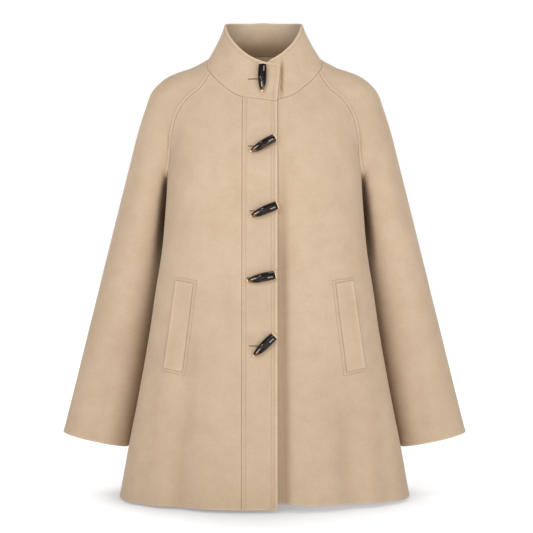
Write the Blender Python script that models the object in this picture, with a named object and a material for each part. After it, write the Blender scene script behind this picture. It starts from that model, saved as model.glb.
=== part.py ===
"""A hip-length swing coat in camel wool, filled out as if worn: raglan sleeves, a stand collar,
a button band with five horn toggles and two slanted welt pockets.

Metres, +Z up. The origin is at the base of the neck, between the shoulders, where the wearer
carries the coat. The front faces -Y, and +X is the wearer's left.
"""

import math

import bmesh
import bpy
import numpy as np
from mathutils import Matrix, Vector
from mathutils.bvhtree import BVHTree

MM = 0.001

# ---------------------------------------------------------------- driving sizes
WALL = 2.6 * MM            # thickness of the milled wool cloth
SEAM_GAP = 0.3 * MM        # what is left open between two pieces along their seam
LAID_GAP = 0.6 * MM        # what is left open under a piece that lies on another
BAND_SEAM_X = -38 * MM     # seam between the right front and its button band
BAND_EDGE_X = 22 * MM      # free front edge of the button band
UNDERLAP_X = -32 * MM      # free front edge of the left front, under the band
UNDERLAP_RISE = 9 * MM     # the left front is this much shorter at the hem
HEM_Z = -777 * MM
HEM_SIDE_DROP = 3 * MM     # the hem is this much lower at the side seams
SIDE_SEAM_ANGLE = 95.5     # degrees round the body from the centre front
FRONT_RAGLAN_ANGLE = 59.0  # where the front raglan seam leaves the neck seam
BACK_RAGLAN_ANGLE = 128.0
SHOULDER_ANGLE = 93.0      # where the overarm seam leaves the neck seam
UNDERARM_Z = -232 * MM     # top of the side seam
SLEEVE_JOIN_MM = (203, -256)   # place on the arm's line of the last row that rises inside

# Rows and columns of each panel's grid.
BODY_ROWS = 17             # hem to underarm
CAP_ROWS = 9               # underarm to neck
SLEEVE_ROWS = 14           # underarm to cuff
FRONT_COLUMNS = 11
BAND_COLUMNS = 3
BACK_COLUMNS = 22
HALF_SLEEVE_COLUMNS = 8
COLLAR_ROWS = 4

# ---------------------------------------------------------------- tables of the form
# Level sections of the body: height, half width, depth to the front and to the back of the
# axis, squareness (2 is an ellipse) and how far the side is pressed in beside the arm.
BODY_SECTIONS_MM = [
    # height  half_width  front  back  squareness  side_hollow
    (60,      58,         44,    58,   2.0,        0),
    (20,      83,         54,    76,   2.0,        0),
    (-25,     118,        72,    92,   2.2,        0),
    (-83,     160,        97,    107,  2.6,        0),
    (-130,    168,        117,   112,  2.9,        8),
    (-180,    172,        133,   117,  3.1,        20),
    (-214,    174,        140,   119,  3.2,        27),
    (-265,    177,        145,   120,  3.2,        27),
    (-340,    184,        148,   121,  3.1,        24),
    (-420,    198,        152,   126,  2.9,        22),
    (-482,    208,        156,   131,  2.7,        20),
    (-607,    232,        165,   144,  2.4,        16),
    (-689,    248,        171,   153,  2.25,       10),
    (-778,    260,        177,   162,  2.1,        2),
    (-830,    266,        181,   166,  2.1,        0),
]
SIDE_HOLLOW_ANGLE = 94.0   # middle of the hollow beside the arm, degrees from the front
SIDE_HOLLOW_SPREAD = 26.0

# The arm's centre line in the plane of the shoulders, with the sleeve's half width across
# that line, its half depth and how far its middle lies behind the shoulders' plane.
ARM_STATIONS_MM = [
    # x    z     half_width  half_depth  behind
    (38,   -40,  49,         66,         8),
    (83,   -54,  48,         63,         8),
    (112,  -61,  49,         61,         8),
    (145,  -73,  51,         60,         8),
    (154,  -83,  55,         60,         8),
    (159,  -103, 58,         62,         9),
    (165,  -128, 60,         65,         10),
    (173,  -155, 60,         68,         11),
    (184,  -190, 58,         70,         13),
    (206,  -261, 54,         70,         15),
    (241,  -405, 55,         65,         16),
    (288,  -614, 60,         50,         15),
    (303,  -683, 62,         45,         14),
]
ARM_SAMPLES = 200

# How softly body and arm flow into each other: height, radius of the blend.
BLEND_MM = [(20, 22), (-60, 30), (-120, 30), (-175, 20), (-205, 10), (-260, 8)]
PARTING_Z = -165 * MM      # below this the body and the sleeve join less and less
PARTING_SLOPE = 2.0
UNDERARM_SPREAD = 16.0     # degrees either side of the side seam that lie beside the arm
SHOULDER_TOP_Z = -110 * MM
ARM_CLEARANCE = 6 * MM     # air between a hanging sleeve and the body
PRESSED_FROM_Z = -196 * MM

# Soft flutes of the flared skirt: angle from the front, how far the crest stands out at the
# hem, its half spread, and the height where it begins.
FLUTES = [
    # angle  crest_mm  spread  top_mm
    (-24,    4,        15,     -330),
    (-44,    -7,       15,     -250),
    (-66,    5,        13,     -360),
    (31,     4,        14,     -340),
    (49,     -7,       15,     -260),
    (69,     5,        13,     -370),
    (118,    6,        14,     -300),
    (137,    -8,       14,     -240),
    (157,    7,        15,     -280),
    (180,    -7,       16,     -220),
    (-155,   6,        15,     -300),
    (-134,   -8,       14,     -260),
    (-114,   6,        13,     -330),
]

# Height of the neck seam round the neck: angle from the front, height.
NECK_SEAM_MM = [(0, -86), (15, -82), (30, -72.5), (45, -53), (62, -27), (78, -5), (93, 4),
                (110, 10), (135, 14), (160, 17), (180, 18)]

# Upper edge of the collar in plan and in height.
COLLAR_TOP_HALF_WIDTH = 69.5 * MM
COLLAR_TOP_SHIFT = -1.5 * MM
COLLAR_TOP_FRONT = 81 * MM
COLLAR_TOP_BACK = 66 * MM
COLLAR_EDGE_RIGHT_MM = [(-28, -18.5), (-12, -17.5), (0, -15.5), (9, -10.5), (16, -5.5), (25, 3),
                        (37, 16), (50, 30), (62, 43), (70, 52), (80, 59.5), (92, 64.5),
                        (108, 69.5), (135, 74.5), (180, 79)]
COLLAR_EDGE_LEFT_MM = [(-28, -26), (0, -19), (5, -15.5), (10, -10.5), (17, -5), (25, 2),
                       (35, 12), (43, 20), (54, 32.5), (62, 42), (70, 51.5), (80, 59.5),
                       (92, 64.5), (108, 69.5), (135, 74.5), (180, 79)]
COLLAR_WAIST = 2.0 * MM    # how far the stand curves in between its two edges
COLLAR_OVERLAP_SWING = 9.5  # degrees that the free end leans out at its top

# Raglan seams as seen from the front and from the back: distance from the centre, height.
FRONT_RAGLAN_MM = [(113, -60), (131, -74), (149, -97), (159, -125), (164, -155), (166, -186)]
BACK_RAGLAN_MM = [(104, -30), (126, -66), (145, -108), (157, -150)]

# The left front is set back where it passes under the button band: height, depth.
SET_BACK_MM = [(80, 4.0), (-83, 4.2), (-300, 4.6), (-500, 6.5), (-774, 9.5), (-830, 10)]
SET_BACK_RUN = 42 * MM     # width over which the left front comes forward again

# Welt pockets, as seen from the front: corners on the centre's side and the side seam's side.
WELT_INNER_TOP_MM = (120, -400)
WELT_OUTER_TOP_MM = (151, -395)
WELT_INNER_FOOT_MM = (139, -551)
WELT_OUTER_FOOT_MM = (172, -545)
WELT_WALL = 2.4 * MM
WELT_ROWS = 12
WELT_COLUMNS = 4

# Toggles: height and x of the middle, and the way from cut end to tip as seen from the front.
TOGGLE_LENGTH = 51 * MM
TOGGLE_RADIUS = 7.6 * MM
TOGGLE_FLATNESS = 0.82
TOGGLE_HOLE_RADIUS = 1.5 * MM
TOGGLE_HOLE_SPACING = 13 * MM
TOGGLE_PROFILE = [(0.0, 0.86), (0.10, 0.93), (0.30, 1.0), (0.52, 0.98), (0.70, 0.84),
                  (0.84, 0.60), (0.94, 0.33), (1.0, 0.0)]
TOGGLES = [
    # name      height_mm  x_mm   turn_deg
    ("toggle_1", -47,      -4.0,  -91),
    ("toggle_2", -167,     -3.4,  -147),
    ("toggle_3", -278,     -1.0,  -157),
    ("toggle_4", -391,     -5.5,  -168),
    ("toggle_5", -505,     -1.0,  -136),
]

CAMEL = (0.60, 0.44, 0.29, 1.0)
HORN = (0.035, 0.022, 0.016, 1.0)


# ---------------------------------------------------------------- smooth tables
def smooth_table(rows, at):
    """The columns of a table, read along a smooth curve through its rows at the heights `at`."""
    rows = np.asarray(rows, float)
    rows = rows[np.argsort(rows[:, 0])]
    keys, values = rows[:, 0], rows[:, 1:]
    steps = np.diff(keys)
    slopes = np.diff(values, axis=0) / steps[:, None]
    tangents = np.vstack([slopes[:1], (slopes[:-1] + slopes[1:]) / 2, slopes[-1:]])
    at = np.clip(np.asarray(at, float), keys[0], keys[-1])
    low = np.clip(np.searchsorted(keys, at, side="right") - 1, 0, len(steps) - 1)
    h = steps[low]
    t = (at - keys[low]) / h
    t, h = t[..., None], h[..., None]
    return ((2 * t**3 - 3 * t**2 + 1) * values[low] + (t**3 - 2 * t**2 + t) * h * tangents[low]
            + (3 * t**2 - 2 * t**3) * values[low + 1] + (t**3 - t**2) * h * tangents[low + 1])


def smooth_step(t):
    t = np.clip(t, 0, 1)
    return t * t * (3 - 2 * t)


def resample(points, count):
    """`count` + 1 rows evenly spaced along a polyline. Columns after the third are carried."""
    points = np.asarray(points, float)
    steps = np.linalg.norm(np.diff(points[:, :3], axis=0), axis=1)
    along = np.concatenate([[0], np.cumsum(steps)])
    wanted = np.linspace(0, along[-1], count + 1)
    return np.stack([np.interp(wanted, along, points[:, k]) for k in range(points.shape[1])], 1)


def curve_through(points, samples=120):
    """A smooth polyline through a short list of points."""
    points = np.asarray(points, float)
    keys = np.concatenate([[0], np.cumsum(np.linalg.norm(np.diff(points, axis=0), axis=1))])
    table = np.column_stack([keys, points])
    return smooth_table(table, np.linspace(0, keys[-1], samples))


# ---------------------------------------------------------------- the form of the coat
def body_radius(angle, z):
    """Distance from the body's axis to the cloth, at an angle in degrees from the front."""
    half_width, front, back, squareness, hollow = np.moveaxis(
        smooth_table(BODY_SECTIONS_MM, z / MM), -1, 0)
    turn = np.radians(angle)
    across, along = np.abs(np.sin(turn)), np.cos(turn)
    depth = np.where(along > 0, front, back)
    radius = ((across / half_width) ** squareness
              + (np.abs(along) / depth) ** squareness) ** (-1 / squareness)
    off_side = np.abs(np.abs(angle) - SIDE_HOLLOW_ANGLE) / SIDE_HOLLOW_SPREAD
    radius = radius - hollow * np.cos(np.clip(off_side, 0, 1) * math.pi / 2) ** 2
    for middle, crest, spread, top in FLUTES:
        away = (angle - middle + 180) % 360 - 180
        fall = smooth_step((top - z / MM) / (top - HEM_Z / MM))
        radius = radius + crest * fall * np.exp(-((away / spread) ** 2))
    return radius * MM


def body_distance(p):
    """How far a point is outside the body's form, measured level."""
    angle = np.degrees(np.arctan2(p[..., 0], -p[..., 1]))
    return np.hypot(p[..., 0], p[..., 1]) - body_radius(angle, p[..., 2])


def arm_line():
    """Samples of the arm's centre line: x, z, half width, half depth and set back."""
    return curve_through(np.array(ARM_STATIONS_MM, float) * MM, ARM_SAMPLES)


ARM = arm_line()


def arm_distance(p):
    """How far a point is outside the nearer arm's form."""
    x, y, z = np.abs(p[..., 0]).ravel(), p[..., 1].ravel(), p[..., 2].ravel()
    gap = np.hypot(x[:, None] - ARM[None, :, 0], z[:, None] - ARM[None, :, 1])
    start = np.clip(gap.argmin(1), 1, ARM_SAMPLES - 2)
    best = np.full(x.shape, 1e9)
    found = np.zeros((len(x), 3))
    for first in (start - 1, start):
        a, b = ARM[first], ARM[first + 1]
        run = b[:, :2] - a[:, :2]
        t = ((x - a[:, 0]) * run[:, 0] + (z - a[:, 1]) * run[:, 1]) / (run**2).sum(1)
        t = np.clip(t, 0, 1)[:, None]
        at = a + (b - a) * t
        away = np.hypot(x - at[:, 0], z - at[:, 1])
        nearer = away < best
        best = np.where(nearer, away, best)
        found = np.where(nearer[:, None], at[:, 2:], found)
    half_width, half_depth, behind = found.T
    reach = np.hypot(best, y - behind) + 1e-9
    rim = 1 / np.sqrt((best / reach / half_width) ** 2 + ((y - behind) / reach / half_depth) ** 2)
    return (reach - rim).reshape(p.shape[:-1])


def soft_join(a, b, radius):
    """The smaller of two distances, rounded over where they are alike."""
    share = np.clip(0.5 + 0.5 * (b - a) / radius, 0, 1)
    return b + (a - b) * share - radius * share * (1 - share)


def parting(z):
    """Added to the other form's distance below the underarm, where the two part."""
    below = np.clip(PARTING_Z - z, 0, None)
    return PARTING_SLOPE * below**2 / (below + 25 * MM)


def blend_radius(z):
    return smooth_table(BLEND_MM, z / MM)[..., 0] * MM


def body_form(p):
    """The body's form with the shoulders, but without the arm where it hangs beside it."""
    z = p[..., 2]
    angle = np.abs(np.degrees(np.arctan2(p[..., 0], -p[..., 1])))
    beside = smooth_step((UNDERARM_SPREAD - np.abs(angle - SIDE_SEAM_ANGLE)) / 8)
    apart = parting(z) + 0.09 * beside * smooth_step((SHOULDER_TOP_Z - z) / (40 * MM))
    return soft_join(body_distance(p), arm_distance(p) + apart, blend_radius(z))


def sleeve_form(p):
    """The sleeve's form: joined to the shoulder above, pressed flat beside the body below."""
    z = p[..., 2]
    body = body_distance(p)
    joined = soft_join(arm_distance(p), body + parting(z), blend_radius(z))
    below = PRESSED_FROM_Z - z
    clear = ARM_CLEARANCE * smooth_step(below / (34 * MM))
    above = 0.3 * (1 - smooth_step(below / (26 * MM) + 1))
    return np.maximum(joined, clear - body - above)


def cast(form, start, direction, reach=0.42, steps=30):
    """Where rays that start inside a form leave it."""
    low = np.zeros(start.shape[:-1])
    high = np.full(start.shape[:-1], reach)
    for _ in range(steps):
        middle = (low + high) / 2
        inside = form(start + direction * middle[..., None]) < 0
        low, high = np.where(inside, middle, low), np.where(inside, high, middle)
    return start + direction * high[..., None]


def body_point(angle, z):
    """The cloth's outer face at an angle from the front and a height."""
    angle, z = np.broadcast_arrays(np.asarray(angle, float), np.asarray(z, float))
    turn = np.radians(angle)
    direction = np.stack([np.sin(turn), -np.cos(turn), np.zeros_like(turn)], -1)
    start = np.stack([np.zeros_like(z), np.zeros_like(z), z], -1)
    return cast(body_form, start, direction)


def angle_of(points):
    return np.degrees(np.arctan2(points[..., 0], -points[..., 1]))


def angle_at(x, z, facing):
    """Angles round the body of the points seen at x and z from the front (-1) or back (1)."""
    x, z = np.broadcast_arrays(np.asarray(x, float), np.asarray(z, float))
    low = np.full(x.shape, 0.0 if facing < 0 else 180.0)
    high = np.full(x.shape, 76.0 if facing < 0 else 110.0)
    for _ in range(22):
        middle = (low + high) / 2
        short = body_point(middle, z)[..., 0] < np.abs(x)
        low, high = np.where(short, middle, low), np.where(short, high, middle)
    return np.copysign(low, x)


def neck_height(angle):
    return smooth_table(NECK_SEAM_MM, np.abs(angle))[..., 0] * MM


def hem_height(angle):
    return HEM_Z - HEM_SIDE_DROP * np.sin(np.radians(angle)) ** 2


# ---------------------------------------------------------------- seams
def raglan_seam(stations_mm, neck_angle, facing):
    """Angles and heights along a raglan seam, from the neck to the top of the side seam."""
    x, z = np.array(stations_mm, float).T * MM
    points = [(neck_angle, neck_height(neck_angle)), *zip(angle_at(x, z, facing), z)]
    last_angle, last_z = points[-1]
    for turn in np.linspace(0, math.pi / 2, 6)[1:]:
        points.append((last_angle + (SIDE_SEAM_ANGLE - last_angle) * (1 - math.cos(turn)),
                       last_z + (UNDERARM_Z - last_z) * math.sin(turn)))
    keyed = curve_through(np.array(points) * [MM, 1.0])
    fine = body_point(keyed[:, 0] / MM, keyed[:, 1])
    even = resample(np.column_stack([fine, keyed]), CAP_ROWS)
    return even[:, 3] / MM, even[:, 4]


def outer_boundary(angles, heights, side):
    """Angle and height up a panel's outer edge: the side seam, then a raglan seam."""
    seam_z = np.linspace(hem_height(SIDE_SEAM_ANGLE), UNDERARM_Z, BODY_ROWS + 1)
    seam = np.column_stack([np.full(BODY_ROWS + 1, SIDE_SEAM_ANGLE), seam_z])
    raglan = np.column_stack([angles[::-1], heights[::-1]])
    edge = np.vstack([seam, raglan[1:]])
    edge[:, 0] *= side
    return edge


def edge_at_x(x, low, high, crossing):
    """Angle and height up a straight edge at a fixed x, with `crossing` as the armhole row."""
    heights = np.concatenate([np.linspace(low, crossing, BODY_ROWS + 1),
                              np.linspace(crossing, high, CAP_ROWS + 1)[1:]])
    return np.column_stack([angle_at(x, heights, -1), heights])


def neck_z_at_x(x):
    """Height of the neck seam where it passes x, found by halving."""
    low, high = -60.0, 60.0
    for _ in range(30):
        middle = (low + high) / 2
        if body_point(middle, neck_height(middle))[0] < x:
            low = middle
        else:
            high = middle
    return float(neck_height(low))


def patch(outer, inner, foot, top):
    """A grid of angles and heights spanned between four edges."""
    rows, columns = len(outer), len(foot)
    u = np.linspace(0, 1, columns)[None, :, None]
    v = np.linspace(0, 1, rows)[:, None, None]
    corners = ((1 - u) * (1 - v) * foot[0] + u * (1 - v) * foot[-1]
               + (1 - u) * v * top[0] + u * v * top[-1])
    return ((1 - u) * outer[:, None] + u * inner[:, None]
            + (1 - v) * foot[None] + v * top[None] - corners)


def even_rows(points):
    """The same rows with their points evenly spaced."""
    return np.stack([resample(row, points.shape[1] - 1) for row in points])


def set_back(points):
    """The left front's points, moved back where it passes under the button band."""
    depth = smooth_table(SET_BACK_MM, points[..., 2] / MM)[..., 0] * MM
    share = 1 - smooth_step((points[..., 0] - BAND_EDGE_X - 2 * MM) / SET_BACK_RUN)
    share = np.where(points[..., 1] < 0, share, 0)
    return points + np.stack([0 * depth, depth * share, 0 * depth], -1)


def front_panel(outer, inner, columns, rise=0.0):
    """A front: from its side and raglan seams to its inner edge, hem to neck."""
    low = np.linspace(outer[0, 0], inner[0, 0], columns + 1)
    foot = np.column_stack([low, hem_height(low) + rise * (1 - np.abs(low) / SIDE_SEAM_ANGLE)])
    high = np.linspace(outer[-1, 0], inner[-1, 0], columns + 1)
    top = np.column_stack([high, neck_height(high)])
    top[-1] = inner[-1]
    foot[-1] = inner[0]
    grid = patch(outer, inner, foot, top)
    return even_rows(body_point(grid[..., 0], grid[..., 1]))


def body_panels(front_seam, back_seam):
    """The right front, its band, the left front and the back, as grids of points."""
    crossing = UNDERARM_Z + 46 * MM
    band_seam = edge_at_x(BAND_SEAM_X, HEM_Z, neck_z_at_x(BAND_SEAM_X), crossing)
    band_edge = edge_at_x(BAND_EDGE_X, HEM_Z, neck_z_at_x(BAND_EDGE_X) - 4 * MM, crossing)
    underlap = edge_at_x(UNDERLAP_X, HEM_Z + UNDERLAP_RISE, neck_z_at_x(UNDERLAP_X), crossing)
    right = front_panel(outer_boundary(*front_seam, -1), band_seam, FRONT_COLUMNS)
    share = np.linspace(0, 1, BAND_COLUMNS + 1)[None, :, None]
    grid = band_seam[:, None] * (1 - share) + band_edge[:, None] * share
    band = body_point(grid[..., 0], grid[..., 1])
    band[:, 0] = right[:, -1]
    left = set_back(front_panel(outer_boundary(*front_seam, 1), underlap,
                                FRONT_COLUMNS + BAND_COLUMNS, UNDERLAP_RISE))[:, ::-1]
    edges = {side: outer_boundary(*back_seam, side) for side in (-1, 1)}
    edges[-1][:, 0] += 360
    low = np.linspace(edges[1][0, 0], edges[-1][0, 0], BACK_COLUMNS + 1)
    high = np.linspace(edges[1][-1, 0], edges[-1][-1, 0], BACK_COLUMNS + 1)
    wrapped = np.where(high > 180, high - 360, high)
    grid = patch(edges[1], edges[-1], np.column_stack([low, hem_height(low)]),
                 np.column_stack([high, neck_height(wrapped)]))
    back = even_rows(body_point(grid[..., 0], grid[..., 1]))
    back[:BODY_ROWS + 1, 0] = left[:BODY_ROWS + 1, -1]
    back[:BODY_ROWS + 1, -1] = right[:BODY_ROWS + 1, 0]
    return right, band, left, back


# ---------------------------------------------------------------- sleeves
def station_of(x, z):
    return int(np.hypot(ARM[:, 0] - x, ARM[:, 1] - z).argmin())


def arm_place(points):
    """Where points lie on the arm's line: station along it and turn round it in degrees."""
    gap = np.hypot(points[:, :1] - ARM[None, :, 0], points[:, 2:] - ARM[None, :, 1])
    station = np.clip(gap.argmin(1), 1, ARM_SAMPLES - 2)
    run = ARM[station + 1, :2] - ARM[station - 1, :2]
    run /= np.linalg.norm(run, axis=1, keepdims=True)
    off = points[:, ::2] - ARM[station, :2]
    across = -off[:, 0] * run[:, 1] + off[:, 1] * run[:, 0]
    turn = np.degrees(np.arctan2(ARM[station, 4] - points[:, 1], across))
    return station.astype(float), turn


def sleeve_points(station, turn, form):
    """Points on a form, cast from the arm's line at stations and turns."""
    keys = np.arange(ARM_SAMPLES)
    line = np.stack([np.interp(station, keys, ARM[:, k]) for k in (0, 4, 1)], -1)
    ahead = np.stack([np.interp(station + 1.5, keys, ARM[:, k]) for k in (0, 1)], -1)
    behind = np.stack([np.interp(station - 1.5, keys, ARM[:, k]) for k in (0, 1)], -1)
    run = (ahead - behind) / np.linalg.norm(ahead - behind, axis=-1, keepdims=True)
    turn = np.radians(turn)
    direction = np.stack([-run[..., 1] * np.cos(turn), -np.sin(turn),
                          run[..., 0] * np.cos(turn)], -1)
    return line, cast(form, line, direction, 0.16)


def half_sleeve(seam, neck_angles, facing):
    """One half of a sleeve on the +X side, from the overarm seam to the raglan and underarm
    seams, neck to cuff. `facing` is -1 for the front half and 1 for the back."""
    columns = HALF_SLEEVE_COLUMNS
    raglan = body_point(*seam)
    neck_turn = np.linspace(*neck_angles, columns + 1)
    neck = body_point(neck_turn, neck_height(neck_turn))
    join = station_of(*(value * MM for value in SLEEVE_JOIN_MM))
    u = np.linspace(0, 1, columns + 1)

    inner_station, inner_turn = arm_place(raglan)
    inner_turn = np.degrees(np.unwrap(np.radians(inner_turn)))
    inner_station[-1] = station_of(raglan[-1, 0] + 40 * MM, raglan[-1, 2] + 10 * MM)
    fine = np.linspace(station_of(neck[0, 0], -60 * MM), join, 60)
    _, overarm = sleeve_points(fine, 0 * fine, sleeve_form)
    outer_station = resample(np.column_stack([overarm, fine]), CAP_ROWS)[:, 3]
    v = np.linspace(0, 1, CAP_ROWS + 1)[:, None]
    reach = u[None] ** (1 + 2 * v)
    station = outer_station[:, None] * (1 - reach) + inner_station[:, None] * reach
    turn = inner_turn[:, None] * u[None]
    _, cap = sleeve_points(station, turn, sleeve_form)
    miss = raglan - cap[:, -1]
    cap = cap + miss[:, None] * (u[None] ** 6)[..., None]
    cap[0] = neck
    cap[:, -1] = raglan

    rows = np.arange(1, SLEEVE_ROWS + 1)[:, None]
    lift = (join - inner_station[-1]) * (1 - smooth_step(rows / 5.0))
    station = join + (ARM_SAMPLES - 1 - join) * rows / SLEEVE_ROWS - lift * u[None] ** 3
    turn = np.broadcast_to(-180.0 * facing * u[None], station.shape)
    _, tube = sleeve_points(station, turn, sleeve_form)
    tube = tube + miss[-1] * (u[None] ** 6 * (1 - smooth_step(rows / 2.0)))[..., None]
    return np.vstack([even_rows(cap), tube])


def mirrored(points):
    """The other side's piece, with its columns turned so that it still faces out."""
    return (points * [-1.0, 1.0, 1.0])[:, ::-1]


# ---------------------------------------------------------------- collar
def collar_edge(angle, heights, lift):
    """Points of the collar's upper edge at angles from the front."""
    turn = np.radians(angle)
    depth = np.where(np.cos(turn) > 0, COLLAR_TOP_FRONT, COLLAR_TOP_BACK)
    radius = ((np.sin(turn) / COLLAR_TOP_HALF_WIDTH) ** 2 + (np.cos(turn) / depth) ** 2) ** -0.5
    radius = radius + lift
    return np.stack([radius * np.sin(turn) + COLLAR_TOP_SHIFT, -radius * np.cos(turn), heights], -1)


def chain(rows):
    """Rows of points that meet end to end, as one row; each is turned round where needed."""
    line = rows[0]
    for row in rows[1:]:
        if np.linalg.norm(row[-1] - line[-1]) < np.linalg.norm(row[0] - line[-1]):
            row = row[::-1]
        line = np.vstack([line, row[1:]])
    return line


def collar_grid(neck):
    """The stand collar on the neck seam's points, from the end that lies under it on the left
    front round the neck to its free end on the button band, base to edge."""
    angle = np.degrees(np.unwrap(np.arctan2(neck[:, 0], -neck[:, 1])))
    over = smooth_step((angle - angle[-1] + 75) / 75)
    under = smooth_step((angle[0] + 110 - angle) / 55)
    top_angle = angle + COLLAR_OVERLAP_SWING * over - 4.0 * under
    turned = (top_angle + 180) % 360 - 180
    on_right = top_angle > 180
    right_key = np.where(np.abs(top_angle - 360) < 60, 360 - top_angle, np.abs(turned))
    left_key = np.where(np.abs(top_angle) < 60, top_angle, np.abs(turned))
    heights = np.where(on_right, smooth_table(COLLAR_EDGE_RIGHT_MM, right_key)[..., 0],
                       smooth_table(COLLAR_EDGE_LEFT_MM, left_key)[..., 0]) * MM
    recess = smooth_table(SET_BACK_MM, 0.0)[0] * MM
    top = collar_edge(top_angle, heights, 2.5 * MM * over - recess * under)
    turn = np.radians(angle)
    outward = np.column_stack([np.sin(turn), -np.cos(turn), 0 * turn])
    rows = []
    for share in np.linspace(0, 1, COLLAR_ROWS + 1):
        waist = COLLAR_WAIST * 4 * share * (1 - share)
        rows.append(neck * (1 - share) + top * share - outward * waist)
    return np.stack(rows)


# ---------------------------------------------------------------- walls from grids
def seam_key(point):
    return tuple(np.round(np.asarray(point) / (0.02 * MM)).astype(int))


def shared_normals(grids):
    """Outward directions at each point of each grid, the same for both pieces at a seam."""
    total = {}
    for points in grids.values():
        corners = [points[:-1, :-1], points[:-1, 1:], points[1:, 1:], points[1:, :-1]]
        faces = np.cross(corners[2] - corners[0], corners[3] - corners[1])
        for corner in corners:
            for point, face in zip(corner.reshape(-1, 3), faces.reshape(-1, 3)):
                key = seam_key(point)
                total[key] = total.get(key, 0) + face
    result = {}
    for name, points in grids.items():
        flat = np.array([total[seam_key(p)] for p in points.reshape(-1, 3)])
        flat /= np.linalg.norm(flat, axis=1, keepdims=True)
        result[name] = flat.reshape(points.shape)
    return result


def drawn_in(points):
    """A grid whose border is drawn in by half of a seam's gap."""
    result = points.copy()
    for edge, inner in ((np.s_[0], np.s_[1]), (np.s_[-1], np.s_[-2]),
                        (np.s_[:, 0], np.s_[:, 1]), (np.s_[:, -1], np.s_[:, -2])):
        run = points[inner] - points[edge]
        run /= np.linalg.norm(run, axis=-1, keepdims=True)
        result[edge] += run * SEAM_GAP / 2
    return result


def add_quad(mesh, corners):
    """Two triangles over four corners, split along the shorter diagonal."""
    if (corners[0].co - corners[2].co).length > (corners[1].co - corners[3].co).length:
        corners = corners[1:] + corners[:1]
    mesh.faces.new(corners[:3])
    mesh.faces.new((corners[0], corners[2], corners[3]))


def wall(name, points, normals, material, thickness=WALL):
    """A closed wall of cloth: its outer face on a grid of points, its inner face behind."""
    rows, columns = points.shape[:2]
    mesh = bmesh.new()
    outer, inner = [[[mesh.verts.new(skin[r, c]) for c in range(columns)] for r in range(rows)]
                    for skin in (points, points - normals * thickness)]
    for r in range(rows - 1):
        for c in range(columns - 1):
            ring = [(r, c), (r, c + 1), (r + 1, c + 1), (r + 1, c)]
            add_quad(mesh, [outer[i][j] for i, j in ring])
            add_quad(mesh, [inner[i][j] for i, j in ring[::-1]])
    rim = ([(0, c) for c in range(columns)] + [(r, columns - 1) for r in range(1, rows)]
           + [(rows - 1, c) for c in range(columns - 2, -1, -1)]
           + [(r, 0) for r in range(rows - 2, 0, -1)])
    for (r, c), (i, j) in zip(rim, rim[1:] + rim[:1]):
        add_quad(mesh, [outer[r][c], inner[r][c], inner[i][j], outer[i][j]])
    return object_from(mesh, name, material)


def object_from(mesh, name, material):
    data = bpy.data.meshes.new(name)
    mesh.to_mesh(data)
    mesh.free()
    data.shade_smooth()
    data.set_sharp_from_angle(angle=math.radians(40))
    data.materials.append(material)
    made = bpy.data.objects.new(name, data)
    bpy.data.collections["overcoat"].objects.link(made)
    return made


def finish(name, colour, roughness, coat=0.0):
    """A plain material for one piece."""
    made = bpy.data.materials.new(name)
    made.use_nodes = True
    shader = made.node_tree.nodes["Principled BSDF"]
    shader.inputs["Base Color"].default_value = colour
    shader.inputs["Roughness"].default_value = roughness
    shader.inputs["Coat Weight"].default_value = coat
    made.diffuse_color = colour
    return made


# ---------------------------------------------------------------- what lies on the fronts
def face_tree(points):
    """A search tree of a grid's outer face."""
    rows, columns = points.shape[:2]
    index = np.arange(rows * columns).reshape(rows, columns)
    quads = np.stack([index[:-1, :-1], index[:-1, 1:], index[1:, 1:], index[1:, :-1]], -1)
    return BVHTree.FromPolygons([Vector(p) for p in points.reshape(-1, 3)],
                                quads.reshape(-1, 4).tolist())


def seen_from_front(tree, x, z):
    """The point of a front that is seen at x and z, and its outward direction."""
    point, normal, _, _ = tree.ray_cast(Vector((x, -1.0, z)), Vector((0.0, 1.0, 0.0)))
    return np.array(point), np.array(normal if normal.y < 0 else -normal)


def welt_grid(tree, side):
    """A welt's outer face on a front: its inner edge and its open edge, foot to top."""
    corners = np.array([WELT_INNER_FOOT_MM, WELT_OUTER_FOOT_MM, WELT_INNER_TOP_MM,
                        WELT_OUTER_TOP_MM], float) * MM
    grid = np.zeros((WELT_ROWS + 1, WELT_COLUMNS + 1, 3))
    for r, v in enumerate(np.linspace(0, 1, WELT_ROWS + 1)):
        for c, u in enumerate(np.linspace(0, 1, WELT_COLUMNS + 1)):
            x, z = ((1 - u) * (1 - v) * corners[0] + u * (1 - v) * corners[1]
                    + (1 - u) * v * corners[2] + u * v * corners[3])
            grid[r, c], _ = seen_from_front(tree, side * x, z)
    return grid if side > 0 else grid[:, ::-1]


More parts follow.
